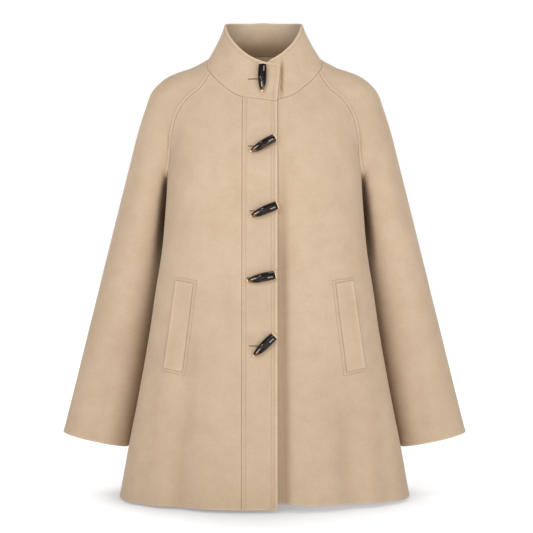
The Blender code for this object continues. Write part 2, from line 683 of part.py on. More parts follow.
def toggle(name, height, x, turn, tree, material):
    """A horn toggle, turned down to a tip from its cut end, with two holes through it, lying
    on the band."""
    mesh = bmesh.new()
    profile = [(TOGGLE_LENGTH * (share - 0.5), 0.0, TOGGLE_RADIUS * size)
               for share, size in TOGGLE_PROFILE]
    line = [mesh.verts.new((-TOGGLE_LENGTH / 2, 0, 0))] + [mesh.verts.new(p) for p in profile]
    edges = [mesh.edges.new(pair) for pair in zip(line, line[1:])]
    bmesh.ops.spin(mesh, geom=line + edges, axis=(1, 0, 0), cent=(0, 0, 0), angle=2 * math.pi,
                   steps=14, use_merge=True)
    bmesh.ops.remove_doubles(mesh, verts=mesh.verts, dist=0.02 * MM)
    bmesh.ops.scale(mesh, verts=mesh.verts, vec=(1, 1, TOGGLE_FLATNESS))
    bmesh.ops.recalc_face_normals(mesh, faces=mesh.faces)
    made = object_from(mesh, name, material)
    for k, along in enumerate((-0.5, 0.5)):
        drill = bmesh.new()
        bmesh.ops.create_cone(drill, cap_ends=True, segments=10, radius1=TOGGLE_HOLE_RADIUS,
                              radius2=TOGGLE_HOLE_RADIUS, depth=4 * TOGGLE_RADIUS,
                              matrix=Matrix.Translation((along * TOGGLE_HOLE_SPACING, 0, 0)))
        cutter = object_from(drill, f"{name}_drill_{k + 1}", material)
        bpy.data.collections["overcoat"].objects.unlink(cutter)
        bpy.data.collections["cutters"].objects.link(cutter)
        cutter.parent = made
        cutter.hide_render = True
        cutter.display_type = "WIRE"
        cut = made.modifiers.new(f"hole_{k + 1}", "BOOLEAN")
        cut.operation = "DIFFERENCE"
        cut.solver = "EXACT"
        cut.object = cutter
    middle, normal = seen_from_front(tree, x, height)
    heading = math.radians(turn)
    along = np.array([math.cos(heading), 0.0, math.sin(heading)])
    along -= normal * (along @ normal)
    along /= np.linalg.norm(along)
    across = np.cross(normal, along)
    basis = np.column_stack([along, across, normal])
    points = np.array([v.co for v in made.data.vertices]) @ basis.T + middle
    clear = []
    for point in points:
        hit = tree.ray_cast(Vector(point + normal * 0.05), Vector(-normal))
        if hit[0] is not None:
            clear.append(hit[3] - 0.05)
    place = Matrix(basis.tolist()).to_4x4()
    place.translation = Vector(middle + normal * (LAID_GAP - min(clear)))
    made.matrix_world = place
    return made


def main():
    for obj in list(bpy.data.objects):
        bpy.data.objects.remove(obj, do_unlink=True)
    for name in ("overcoat", "cutters"):
        bpy.context.scene.collection.children.link(bpy.data.collections.new(name))

    front_seam = raglan_seam(FRONT_RAGLAN_MM, FRONT_RAGLAN_ANGLE, -1)
    back_seam = raglan_seam(BACK_RAGLAN_MM, BACK_RAGLAN_ANGLE, 1)
    right, band, left, back = body_panels(front_seam, back_seam)
    sleeve_front = half_sleeve(front_seam, (SHOULDER_ANGLE, FRONT_RAGLAN_ANGLE), -1)
    sleeve_back = half_sleeve(back_seam, (SHOULDER_ANGLE, BACK_RAGLAN_ANGLE), 1)[:, ::-1]
    grids = {
        "front_right": right,
        "front_band": band,
        "front_left": left,
        "back": back,
        "sleeve_right_front": mirrored(sleeve_front),
        "sleeve_right_back": mirrored(sleeve_back),
        "sleeve_left_front": sleeve_front,
        "sleeve_left_back": sleeve_back,
    }
    neck = chain([left[-1], grids["sleeve_left_front"][0][::-1], grids["sleeve_left_back"][0],
                  back[-1], grids["sleeve_right_back"][0], grids["sleeve_right_front"][0],
                  right[-1], band[-1]])
    grids["collar"] = collar_grid(neck)
    normals = shared_normals(grids)
    for name, points in grids.items():
        wall(name, drawn_in(points), normals[name], finish(name, CAMEL, 0.95))

    for name, side, front in (("welt_right", -1, right), ("welt_left", 1, left)):
        welt = welt_grid(face_tree(front), side)
        out = shared_normals({name: welt})[name]
        raised = welt + out * (LAID_GAP + WELT_WALL)
        wall(name, raised, out, finish(name, CAMEL, 0.95), WELT_WALL)

    band_tree = face_tree(band)
    collar_tree = face_tree(grids["collar"])
    for name, height_mm, x_mm, turn in TOGGLES:
        tree = collar_tree if name == "toggle_1" else band_tree
        toggle(name, height_mm * MM, x_mm * MM, turn, tree, finish(name, HORN, 0.25, 0.4))
    bpy.context.view_layer.update()


main()
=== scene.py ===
"""The looks of a hip-length swing coat in camel wool, filled out as if worn.

Raglan sleeves, a stand collar, a button band with five horn toggles and two slanted welt
pockets. Metres, +Z up, the front faces -Y, and the origin is the base of the neck. Each piece of
cloth is a shell on the same form as its solid, with rolled seams, sewing and soft folds.
"""

import logging
import math
from collections.abc import Callable
from dataclasses import dataclass, field
from enum import Enum

import bmesh
import bpy
import numpy as np
from mathutils import Matrix, Vector
from mathutils.bvhtree import BVHTree


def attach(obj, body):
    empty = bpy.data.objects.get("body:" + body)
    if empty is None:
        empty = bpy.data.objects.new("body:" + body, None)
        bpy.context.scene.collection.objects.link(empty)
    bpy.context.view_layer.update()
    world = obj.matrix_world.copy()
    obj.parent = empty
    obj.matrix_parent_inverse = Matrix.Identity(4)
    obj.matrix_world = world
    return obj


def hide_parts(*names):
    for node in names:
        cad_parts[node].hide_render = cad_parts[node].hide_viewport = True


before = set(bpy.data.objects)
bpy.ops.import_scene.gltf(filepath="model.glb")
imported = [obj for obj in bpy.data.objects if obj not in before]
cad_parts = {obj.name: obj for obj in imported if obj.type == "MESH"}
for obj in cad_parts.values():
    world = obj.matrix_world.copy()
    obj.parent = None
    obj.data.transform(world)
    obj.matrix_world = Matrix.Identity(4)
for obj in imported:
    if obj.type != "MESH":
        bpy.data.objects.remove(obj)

LOG = logging.getLogger("coat")
MM = 0.001
Array = np.ndarray
Row = tuple[float, ...]
Rows = tuple[Row, ...]


# ---- shader maths
class Value:
    """A socket's number, with Python's operators adding Math nodes."""

    def __init__(self, graph: "Graph", socket: bpy.types.NodeSocket) -> None:
        """Keeps the socket and the graph that it belongs to."""
        self.graph = graph
        self.socket = socket

    def maths(self, operation: str, *others: "Value | float", swap: bool = False) -> "Value":
        """A Math node on this and further numbers, in turned order with `swap`."""
        given = [self, *others][::-1] if swap else [self, *others]
        return self.graph.add("ShaderNodeMath", {"operation": operation}, dict(enumerate(given)))

    def __add__(self, other: "Value | float") -> "Value":
        """This plus another."""
        return self.maths("ADD", other)

    def __sub__(self, other: "Value | float") -> "Value":
        """This less another."""
        return self.maths("SUBTRACT", other)

    def __rsub__(self, other: "Value | float") -> "Value":
        """Another less this."""
        return self.maths("SUBTRACT", other, swap=True)

    def __mul__(self, other: "Value | float") -> "Value":
        """This times another."""
        return self.maths("MULTIPLY", other)

    def __truediv__(self, other: "Value | float") -> "Value":
        """This over another."""
        return self.maths("DIVIDE", other)

    def __pow__(self, other: "Value | float") -> "Value":
        """This to a power."""
        return self.maths("POWER", other)

    __radd__ = __add__
    __rmul__ = __mul__

    def clip(self) -> "Value":
        """Held between 0 and 1."""
        return self.maths("MAXIMUM", 0.0).maths("MINIMUM", 1.0)

    def step(self, low: float, high: float) -> "Value":
        """0 below low, 1 above high and smooth between."""
        settings = {"interpolation_type": "SMOOTHSTEP"}
        return self.graph.add("ShaderNodeMapRange", settings, {0: self, 1: low, 2: high})


class Graph:
    """The nodes of one material or world."""

    def __init__(self, tree: bpy.types.NodeTree) -> None:
        """Empties the tree."""
        self.tree = tree
        tree.nodes.clear()

    def add(self, kind: str, settings: dict | None = None, inputs: dict | None = None,
            out: int | str = 0) -> Value:
        """Adds a node.

        Args:
            kind: the node's type.
            settings: its settings, set first.
            inputs: numbers, colours or Values for its sockets, by name or place.
            out: the output that is returned.

        Returns:
            That output.
        """
        node = self.tree.nodes.new(kind)
        for key, value in (settings or {}).items():
            setattr(node, key, value)
        for key, value in (inputs or {}).items():
            if isinstance(value, Value):
                self.tree.links.new(value.socket, node.inputs[key])
            else:
                node.inputs[key].default_value = value
        return Value(self, node.outputs[out]) if node.outputs else Value(self, None)

    def place(self) -> Value:
        """The place on the object, in metres."""
        return self.add("ShaderNodeTexCoord", {}, {}, "Object")

    def fact(self, name: str, out: str = "Fac") -> Value:
        """An attribute that the mesh carries."""
        return self.add("ShaderNodeAttribute", {"attribute_name": name}, {}, out)

    def noise(self, where: Value, scale: float, detail: float = 2.0,
              distortion: float = 0.0) -> Value:
        """Noise about 0, between -1 and 1."""
        inputs = {"Vector": where, "Scale": scale, "Detail": detail, "Distortion": distortion}
        return self.add("ShaderNodeTexNoise", {}, inputs) * 2.0 - 1.0

    def stretched(self, where: Value, scale: Row, turn: float = 0.0) -> Value:
        """Coordinates scaled along each axis after a turn about the third."""
        inputs = {"Vector": where, "Scale": scale, "Rotation": (0.0, 0.0, turn)}
        return self.add("ShaderNodeMapping", {}, inputs)

    def blend(self, share: Value | float, first: object, second: object) -> Value:
        """Two colours mixed by a share of the second."""
        return self.add("ShaderNodeMix", {"data_type": "RGBA"}, {0: share, 6: first, 7: second}, 2)


def colour(red: float, green: float, blue: float) -> Row:
    """A linear colour with full alpha from sRGB numbers out of 255."""
    parts = [c / 255 for c in (red, green, blue)]
    return (*[c / 12.92 if c < 0.04045 else ((c + 0.055) / 1.055) ** 2.4 for c in parts], 1.0)


def principled(name: str, build: Callable[[Graph], dict]) -> bpy.types.Material:
    """A material whose surface is one Principled shader.

    Args:
        name: the material's name.
        build: a function from the graph to the shader's inputs.

    Returns:
        The material.
    """
    made = bpy.data.materials.new(name)
    made.use_nodes = True
    graph = Graph(made.node_tree)
    shader = graph.add("ShaderNodeBsdfPrincipled", {}, build(graph))
    graph.add("ShaderNodeOutputMaterial", {}, {"Surface": shader})
    return made


class Finish:
    """A finish, dressed under the name of the piece that wears it."""

    def inputs(self, graph: Graph) -> dict:
        """The shader's inputs by socket name."""
        raise NotImplementedError

    def make(self, name: str) -> bpy.types.Material:
        """The material, under the piece's name."""
        return principled(name, self.inputs)


@dataclass(frozen=True)
class Wool(Finish):
    """Milled wool: a felted face with heathered fibres over a faint twill."""

    face: Row = colour(187, 164, 139)
    shade: Row = colour(158, 134, 108)
    light: Row = colour(206, 187, 165)
    # painted shadow colour for the gap between the sleeve and the body
    painted_gap_shadow: Row = colour(56, 30, 6)
    # painted shade colour for seams, laps and fold troughs
    painted_shade_brown: Row = colour(128, 98, 66)
    sheen: float = 0.12

    def inputs(self, graph: Graph) -> dict:
        """The shader's inputs: colour, roughness and relief from fibres, clouds and seams, with
        painted shade and highlights.

        Args:
            graph: the material's nodes.

        Returns:
            Inputs by socket name.
        """
        place = graph.place()
        lay = graph.fact("lay", "Vector")
        painted_shade, ridge, painted_gap_shade = map(graph.fact, ("painted_shade", "ridge", "painted_gap_shade"))
        drift = graph.noise(place, 9.0, 2.0)
        mottle = graph.noise(place, 26.0, 3.0, 0.3)
        cloud = graph.noise(place, 55.0, 3.0, 0.4)
        nap = graph.noise(graph.stretched(lay, (900.0, 260.0, 1.0)), 1.0, 4.0, 0.6)
        cross = graph.noise(graph.stretched(lay, (300.0, 1100.0, 1.0), 0.5), 1.0, 3.0, 0.8)
        fleck = graph.noise(graph.stretched(lay, (1900.0, 420.0, 1.0), -0.35), 1.0, 2.0)
        fuzz = graph.noise(place, 2300.0, 3.0)
        bands = graph.add("ShaderNodeTexWave", {"bands_direction": "X"},
                          {"Vector": graph.stretched(lay, (1.0, 1.0, 1.0), 0.9), "Scale": 260.0,
                           "Distortion": 2.2, "Detail": 2.0, "Detail Scale": 1.5}, "Fac")
        # the ridge term lightens raised edges: rub and painted highlight
        tone = (drift * 0.26 + mottle * 0.26 + cloud * 0.17 + nap * 0.42 + cross * 0.26
                + ridge * 0.45)
        pale = graph.blend(tone.clip(), self.face, self.light)
        body = graph.blend((tone * -0.9).clip(), pale, self.shade)
        strands = fleck.step(0.42, 0.75) * 0.35
        whole = graph.blend(strands, body, self.light)
        # painted shade in seams, beside laps and in fold troughs
        whole = graph.blend(painted_shade, whole, self.painted_shade_brown)
        # painted shadow in the gap between the sleeve and the body
        whole = graph.blend(painted_gap_shade, whole, self.painted_gap_shadow)
        height = (nap * 0.5 + cross * 0.35 + fuzz * 0.35 + fleck.step(0.3, 0.8) * 0.5
                  + bands * 0.35 + cloud * 0.6)
        relief = graph.add("ShaderNodeBump", {},
                           {"Strength": 0.55, "Distance": 0.00022, "Height": height})
        return {"Base Color": whole, "Roughness": 0.9 + cloud * 0.05 + nap * 0.04,
                "Normal": relief, "Sheen Weight": self.sheen, "Sheen Roughness": 0.45,
                "Sheen Tint": (1.0, 0.95, 0.88, 1.0), "Specular IOR Level": 0.18}


@dataclass(frozen=True)
class Thread(Finish):
    """Twisted sewing thread, matt, with its strands slanting across it."""

    main: Row = colour(203, 177, 147)
    dark: Row = colour(150, 124, 95)
    gloss: float = 0.62

    def inputs(self, graph: Graph) -> dict:
        """The shader's inputs: twisted strands with a little wear.

        Args:
            graph: the material's nodes.

        Returns:
            Inputs by socket name.
        """
        place = graph.place()
        twist = graph.add("ShaderNodeTexWave", {"bands_direction": "DIAGONAL"},
                          {"Vector": place, "Scale": 900.0, "Distortion": 1.0}, "Fac")
        wear = graph.noise(place, 120.0, 2.0)
        tone = twist * 0.55 + wear * 0.35 + 0.35
        relief = graph.add("ShaderNodeBump", {},
                           {"Strength": 0.6, "Distance": 0.00012, "Height": twist})
        return {"Base Color": graph.blend(tone.step(0.0, 1.0), self.dark, self.main),
                "Roughness": self.gloss + wear * 0.08, "Normal": relief,
                "Specular IOR Level": 0.3}


@dataclass(frozen=True)
class Horn(Finish):
    """Polished dark horn, amber where it thins and pale at the cut and the tip, with painted
    highlights.
    """

    core: Row = colour(20, 13, 10)
    streak: Row = colour(40, 25, 18)
    amber: Row = colour(140, 82, 34)
    cream: Row = colour(226, 202, 160)
    # painted highlight colour
    glint_highlight: Row = colour(196, 190, 182)

    def inputs(self, graph: Graph) -> dict:
        """The shader's inputs: streaks along the toggle, its paler ends and flank, and painted
        highlights along it and at the hole rims.

        Args:
            graph: the material's nodes.

        Returns:
            Inputs by socket name.
        """
        place = graph.place()
        thin = graph.fact("thin")
        pale = graph.fact("pale")
        grain = graph.noise(graph.stretched(place, (60.0, 900.0, 900.0)), 1.0, 4.0, 0.5)
        cloud = graph.noise(graph.stretched(place, (70.0, 190.0, 190.0)), 1.0, 3.0, 0.8)
        scratch = graph.noise(graph.stretched(place, (500.0, 4200.0, 4200.0), 0.3), 1.0, 2.0)
        body = graph.blend((grain * 0.6 + cloud * 0.6).step(-0.1, 0.9), self.core, self.streak)
        warm = graph.blend((thin + cloud * 0.3 + grain * 0.2).step(0.3, 0.72), body, self.amber)
        whole = graph.blend((pale + cloud * 0.2 + grain * 0.1).step(0.4, 0.75), warm, self.cream)
        # painted highlights: streaks of glint along the toggle's upper side
        glint_highlight = graph.fact("glint_highlight")
        whole = graph.blend((glint_highlight + grain * 0.5).step(0.25, 0.95), whole, self.glint_highlight)
        relief = graph.add("ShaderNodeBump", {}, {"Strength": 0.25, "Distance": 0.0002,
                                                  "Height": grain * 0.7 + scratch * 0.3})
        polish = (grain * 0.8 + cloud * 0.5).step(-0.02, 0.14) * 0.95
        return {"Base Color": whole, "Roughness": 0.3 + cloud * 0.08 + scratch * 0.06,
                "Normal": relief, "Coat Weight": polish, "Coat Roughness": 0.04,
                "Specular IOR Level": 0.1}


@dataclass(frozen=True)
class Paper(Finish):
    """The pale seamless floor, with a painted soft shadow of the coat close about its hem.

    The hem's oval is given by its half width, half depth and middle, and the painted shadow fades
    out at `reach` beyond it, and sooner at its sides by `narrowing`.
    """

    tone: Row = (0.4, 0.4, 0.4, 1.0)
    shade: Row = (0.33, 0.33, 0.335, 1.0)
    shade_right: Row = (0.48, 0.48, 0.485, 1.0)
    light: Row = (0.72, 0.72, 0.72, 1.0)
    far: Row = (1.05, 1.05, 1.05, 1.0)
    half_width: float = 0.262
    half_depth: float = 0.17
    middle: float = -0.007
    reach: float = 0.175
    narrowing: float = 1.6
    under: float = 0.01
    fade: float = 1.6

    def inputs(self, graph: Graph) -> dict:
        """The shader's inputs: glowing matt paper with a painted shadow by the distance from the
        hem.

        Args:
            graph: the material's nodes.

        Returns:
            Inputs by socket name.
        """
        place = graph.place()
        mottle = graph.noise(place, 9.0, 2.0)
        place = graph.add("ShaderNodeVectorMath", {"operation": "SUBTRACT"},
                          {0: place, 1: (0.0, self.middle, 0.0)})
        oval = graph.stretched(place, (1 / self.half_width, 1 / self.half_depth, 1.0))
        size, turns = (graph.add("ShaderNodeVectorMath", {"operation": "LENGTH"}, {0: at}, 1)
                       for at in (place, oval))
        side = graph.add("ShaderNodeVectorMath", {"operation": "DOT_PRODUCT"},
                         {0: place, 1: (1.0, 0.0, 0.0)}, 1)
        beside = (side / size) * (side / size)
        away = (size - size / turns) * (beside * self.narrowing + 1.0)
        # share of the painted shadow, full at the hem and fading out beyond it
        near = ((self.reach - away) / (self.reach + self.under)).clip() ** self.fade
        shade = graph.blend(side.step(-0.02, 0.1), self.shade, self.shade_right)
        painted_shadow_glow = graph.blend(near, self.light, shade)
        glow = graph.blend(size.step(0.5, 2.5), painted_shadow_glow, self.far)
        return {"Base Color": graph.blend(mottle.step(-1.0, 1.0) * 0.04, self.tone, self.far),
                "Roughness": 0.95 + mottle * 0.02, "Specular IOR Level": 0.05,
                "Emission Color": glow, "Emission Strength": 1.0}


# ---- smooth tables
def smooth_table(rows: object, at: object) -> Array:
    """Reads a table along a smooth curve through its rows.

    Args:
        rows: the rows, each a key and its values.
        at: the keys wanted.

    Returns:
        The values, with one more axis than `at`.
    """
    rows = np.asarray(rows, float)
    rows = rows[np.argsort(rows[:, 0])]
    keys, values = rows[:, 0], rows[:, 1:]
    steps = np.diff(keys)
    slopes = np.diff(values, axis=0) / steps[:, None]
    tangents = np.vstack([slopes[:1], (slopes[:-1] + slopes[1:]) / 2, slopes[-1:]])
    at = np.clip(np.asarray(at, float), keys[0], keys[-1])
    low = np.clip(np.searchsorted(keys, at, side="right") - 1, 0, len(steps) - 1)
    h = steps[low]
    t = (at - keys[low]) / h
    t, h = t[..., None], h[..., None]
    return ((2 * t**3 - 3 * t**2 + 1) * values[low] + (t**3 - 2 * t**2 + t) * h * tangents[low]
            + (3 * t**2 - 2 * t**3) * values[low + 1] + (t**3 - t**2) * h * tangents[low + 1])


def smooth_step(t: object) -> Array:
    """0 to 1 with level ends."""
    t = np.clip(t, 0, 1)
    return t * t * (3 - 2 * t)


def bell(t: object) -> Array:
    """A soft bump of height 1 about 0."""
    return np.exp(-np.square(t))


def unit(v: Array) -> Array:
    """The same directions with length 1."""
    return v / np.maximum(np.linalg.norm(v, axis=-1, keepdims=True), 1e-12)


def lengths_along(points: Array) -> Array:
    """How far each point of a polyline is from its start."""
    return np.concatenate([[0], np.cumsum(np.linalg.norm(np.diff(points, axis=0), axis=1))])


def resample(points: object, count: int) -> Array:
    """Spaces a polyline evenly.

    Args:
        points: its rows; columns after the third are carried along.
        count: how many steps it gets.

    Returns:
        count + 1 rows.
    """
    points = np.asarray(points, float)
    along = lengths_along(points[:, :3])
    wanted = np.linspace(0, along[-1], count + 1)
    return np.stack([np.interp(wanted, along, points[:, k]) for k in range(points.shape[1])], 1)


def curve_through(points: object, samples: int = 120) -> Array:
    """A smooth polyline through a short list of points.

    Args:
        points: the points, in order.
        samples: how many points the curve gets.

    Returns:
        The curve's points.
    """
    points = np.asarray(points, float)
    keys = lengths_along(points)
    return smooth_table(np.column_stack([keys, points]), np.linspace(0, keys[-1], samples))


def slide(grid: Array, at: Array) -> Array:
    """Reads each row of a grid at places along it, on a smooth curve through its points.

    Args:
        grid: rows x columns x channels.
        at: rows x wanted, as places between columns.

    Returns:
        rows x wanted x channels.
    """
    last = grid.shape[1] - 1
    padded = np.concatenate([2 * grid[:, :1] - grid[:, 1:2], grid,
                             2 * grid[:, -1:] - grid[:, -2:-1]], 1)
    low = np.clip(np.floor(at).astype(int), 0, last - 1)
    t = (at - low)[..., None]
    rows = np.arange(len(grid))[:, None]
    a, b, c, d = (padded[rows, low + k] for k in range(4))
    return 0.5 * (2 * b + (c - a) * t + (2 * a - 5 * b + 4 * c - d) * t**2
                  + (3 * b - a - 3 * c + d) * t**3)


# ---- the form of the coat
@dataclass
class Form:
    """The coat's filled-out form: level sections of the body, joined softly to the arms."""

    # height  half_width  front  back  squareness  side_hollow
    sections_mm: Rows = (
        (60, 58, 44, 58, 2.0, 0), (20, 83, 54, 76, 2.0, 0), (-25, 118, 72, 92, 2.2, 0),
        (-83, 160, 97, 107, 2.6, 0), (-130, 168, 117, 112, 2.9, 8),
        (-180, 172, 133, 117, 3.1, 20), (-214, 174, 140, 119, 3.2, 27),
        (-265, 177, 145, 120, 3.2, 27), (-340, 184, 148, 121, 3.1, 24),
        (-420, 198, 152, 126, 2.9, 22), (-482, 208, 156, 131, 2.7, 20),
        (-607, 232, 165, 144, 2.4, 16), (-689, 248, 171, 153, 2.25, 10),
        (-778, 260, 177, 162, 2.1, 2), (-830, 266, 181, 166, 2.1, 0))
    # x  z  half_width  half_depth  behind
    arm_mm: Rows = (
        (38, -40, 49, 66, 8), (83, -54, 48, 63, 8), (112, -61, 49, 61, 8),
        (145, -73, 51, 60, 8), (154, -83, 55, 60, 8), (159, -103, 58, 62, 9),
        (165, -128, 60, 65, 10), (173, -155, 60, 68, 11), (184, -190, 58, 70, 13),
        (206, -261, 54, 70, 15), (241, -405, 55, 65, 16), (288, -614, 60, 50, 15),
        (303, -683, 62, 45, 14))
    # angle  crest  spread  top
    flutes_mm: Rows = (
        (-24, 4, 15, -330), (-44, -7, 15, -250), (-66, 5, 13, -360), (31, 4, 14, -340),
        (49, -7, 15, -260), (69, 5, 13, -370), (118, 6, 14, -300), (137, -8, 14, -240),
        (157, 7, 15, -280), (180, -7, 16, -220), (-155, 6, 15, -300), (-134, -8, 14, -260),
        (-114, 6, 13, -330))
    neck_mm: Rows = (
        (0, -86), (15, -82), (30, -72.5), (45, -53), (62, -27), (78, -5), (93, 4), (110, 10),
        (135, 14), (160, 17), (180, 18))
    blend_mm: Rows = ((20, 22), (-60, 30), (-120, 30), (-175, 20), (-205, 10), (-260, 8))
    hollow_angle: float = 94.0
    hollow_spread: float = 26.0
    hem: float = -777 * MM
    hem_drop: float = 3 * MM
    side_seam: float = 95.5
    parting_z: float = -165 * MM
    parting_slope: float = 2.0
    parting_ease: float = 25 * MM
    underarm_spread: float = 16.0
    shoulder_top: float = -110 * MM
    arm_clearance: float = 6 * MM
    pressed_from: float = -196 * MM
    samples: int = 200
    arm: Array = field(init=False)

    def __post_init__(self) -> None:
        """Samples the arm's centre line."""
        self.arm = curve_through(np.array(self.arm_mm, float) * MM, self.samples)

    def body_radius(self, angle: Array, z: Array) -> Array:
        """Distance from the body's axis to the cloth, at an angle in degrees from the front.

        Args:
            angle: degrees from the front.
            z: heights in metres.

        Returns:
            Distances in metres.
        """
        width, front, back, square, hollow = np.moveaxis(
            smooth_table(self.sections_mm, z / MM), -1, 0)
        turn = np.radians(angle)
        across, along = np.abs(np.sin(turn)), np.cos(turn)
        depth = np.where(along > 0, front, back)
        radius = ((across / width) ** square + (np.abs(along) / depth) ** square) ** (-1 / square)
        off = np.abs(np.abs(angle) - self.hollow_angle) / self.hollow_spread
        radius = radius - hollow * np.cos(np.clip(off, 0, 1) * math.pi / 2) ** 2
        for middle, crest, spread, top in self.flutes_mm:
            away = (angle - middle + 180) % 360 - 180
            fall = smooth_step((top - z / MM) / (top - self.hem / MM))
            radius = radius + crest * fall * bell(away / spread)
        return radius * MM

    def body_distance(self, p: Array) -> Array:
        """How far a point is outside the body's form, measured level."""
        angle = np.degrees(np.arctan2(p[..., 0], -p[..., 1]))
        return np.hypot(p[..., 0], p[..., 1]) - self.body_radius(angle, p[..., 2])

    def arm_distance(self, p: Array) -> Array:
        """How far a point is outside the nearer arm's form.

        Args:
            p: the points.

        Returns:
            Distances in metres, below 0 inside.
        """
        x, y, z = np.abs(p[..., 0]).ravel(), p[..., 1].ravel(), p[..., 2].ravel()
        gap = np.hypot(x[:, None] - self.arm[None, :, 0], z[:, None] - self.arm[None, :, 1])
        start = np.clip(gap.argmin(1), 1, self.samples - 2)
        best = np.full(x.shape, 1e9)
        found = np.zeros((len(x), 3))
        for first in (start - 1, start):
            a, b = self.arm[first], self.arm[first + 1]
            run = b[:, :2] - a[:, :2]
            t = ((x - a[:, 0]) * run[:, 0] + (z - a[:, 1]) * run[:, 1]) / (run**2).sum(1)
            at = a + (b - a) * np.clip(t, 0, 1)[:, None]
            away = np.hypot(x - at[:, 0], z - at[:, 1])
            found = np.where((away < best)[:, None], at[:, 2:], found)
            best = np.minimum(away, best)
        width, depth, behind = found.T
        reach = np.hypot(best, y - behind) + 1e-9
        rim = 1 / np.hypot(best / reach / width, (y - behind) / reach / depth)
        return (reach - rim).reshape(p.shape[:-1])

    def soft_join(self, a: Array, b: Array, radius: Array) -> Array:
        """The smaller of two distances, rounded over where they are alike."""
        share = np.clip(0.5 + 0.5 * (b - a) / radius, 0, 1)
        return b + (a - b) * share - radius * share * (1 - share)

    def parting(self, z: Array) -> Array:
        """Added to the other form's distance below the underarm, where the two part."""
        below = np.clip(self.parting_z - z, 0, None)
        return self.parting_slope * below**2 / (below + self.parting_ease)

    def blend_radius(self, z: Array) -> Array:
        """How softly body and arm flow into each other at a height."""
        return smooth_table(self.blend_mm, z / MM)[..., 0] * MM

    def body_form(self, p: Array) -> Array:
        """Distance outside the body with the shoulders, without the arm beside it.

        Args:
            p: the points.

        Returns:
            Distances in metres, below 0 inside.
        """
        z = p[..., 2]
        angle = np.abs(np.degrees(np.arctan2(p[..., 0], -p[..., 1])))
        beside = smooth_step((self.underarm_spread - np.abs(angle - self.side_seam)) / 8)
        apart = self.parting(z) + 0.09 * beside * smooth_step(
            (self.shoulder_top - z) / (40 * MM))
        return self.soft_join(self.body_distance(p), self.arm_distance(p) + apart,
                              self.blend_radius(z))

    def sleeve_form(self, p: Array) -> Array:
        """Distance outside the sleeve: joined to the shoulder, pressed flat beside the body.

        Args:
            p: the points.

        Returns:
            Distances in metres, below 0 inside.
        """
        z = p[..., 2]
        body = self.body_distance(p)
        joined = self.soft_join(self.arm_distance(p), body + self.parting(z),
                                self.blend_radius(z))
        below = self.pressed_from - z
        clear = self.arm_clearance * smooth_step(below / (34 * MM))
        above = 0.3 * (1 - smooth_step(below / (26 * MM) + 1))
        return np.maximum(joined, clear - body - above)

    def cast(self, form: Callable[[Array], Array], start: Array, direction: Array,
             reach: float = 0.42, steps: int = 26) -> Array:
        """Where rays that start inside a form leave it.

        Args:
            form: gives a point's distance outside the form.
            start: where the rays start.
            direction: their unit directions.
            reach: their length in metres.
            steps: how often each is halved.

        Returns:
            The points on the form.
        """
        low = np.zeros(start.shape[:-1])
        high = np.full(start.shape[:-1], reach)
        for _ in range(steps):
            middle = (low + high) / 2
            inside = form(start + direction * middle[..., None]) < 0
            low, high = np.where(inside, middle, low), np.where(inside, high, middle)
        return start + direction * high[..., None]

    def body_point(self, angle: object, z: object) -> Array:
        """The cloth's outer face at an angle from the front and a height.

        Args:
            angle: degrees from the front.
            z: heights in metres.

        Returns:
            The points on the cloth.
        """
        angle, z = np.broadcast_arrays(np.asarray(angle, float), np.asarray(z, float))
        turn = np.radians(angle)
        direction = np.stack([np.sin(turn), -np.cos(turn), np.zeros_like(turn)], -1)
        start = np.stack([np.zeros_like(z), np.zeros_like(z), z], -1)
        return self.cast(self.body_form, start, direction)

    def angle_at(self, x: object, z: object, facing: int) -> Array:
        """Angles round the body of the points seen at x and z from the front (-1) or back (1).

        Args:
            x: places across in metres.
            z: heights in metres.
            facing: -1 for the front, 1 for the back.

        Returns:
            Angles in degrees from the front.
        """
        x, z = np.broadcast_arrays(x, z)
        low = np.full(x.shape, 0.0 if facing < 0 else 180.0)
        high = np.full(x.shape, 76.0 if facing < 0 else 110.0)
        for _ in range(20):
            middle = (low + high) / 2
            short = self.body_point(middle, z)[..., 0] < np.abs(x)
            low, high = np.where(short, middle, low), np.where(short, high, middle)
        return np.copysign(low, x)

    def neck_height(self, angle: Array) -> Array:
        """Height of the neck seam at an angle from the front."""
        return smooth_table(self.neck_mm, np.abs(angle))[..., 0] * MM

    def hem_height(self, angle: Array) -> Array:
        """Height of the hem at an angle from the front."""
        return self.hem - self.hem_drop * np.sin(np.radians(angle)) ** 2

    def station_of(self, x: float, z: float) -> int:
        """The place on the arm's line nearest to x and z."""
        return int(np.hypot(self.arm[:, 0] - x, self.arm[:, 1] - z).argmin())

    def arm_place(self, points: Array) -> tuple[Array, Array]:
        """Where points lie on the arm's line: station along it and turn round it in degrees.

        Args:
            points: points near the +X arm.

        Returns:
            Stations along the line and turns in degrees.
        """
        gap = np.hypot(points[:, :1] - self.arm[None, :, 0], points[:, 2:] - self.arm[None, :, 1])
        station = np.clip(gap.argmin(1), 1, self.samples - 2)
        run = unit(self.arm[station + 1, :2] - self.arm[station - 1, :2])
        off = points[:, ::2] - self.arm[station, :2]
        across = -off[:, 0] * run[:, 1] + off[:, 1] * run[:, 0]
        turn = np.degrees(np.arctan2(self.arm[station, 4] - points[:, 1], across))
        return station.astype(float), turn

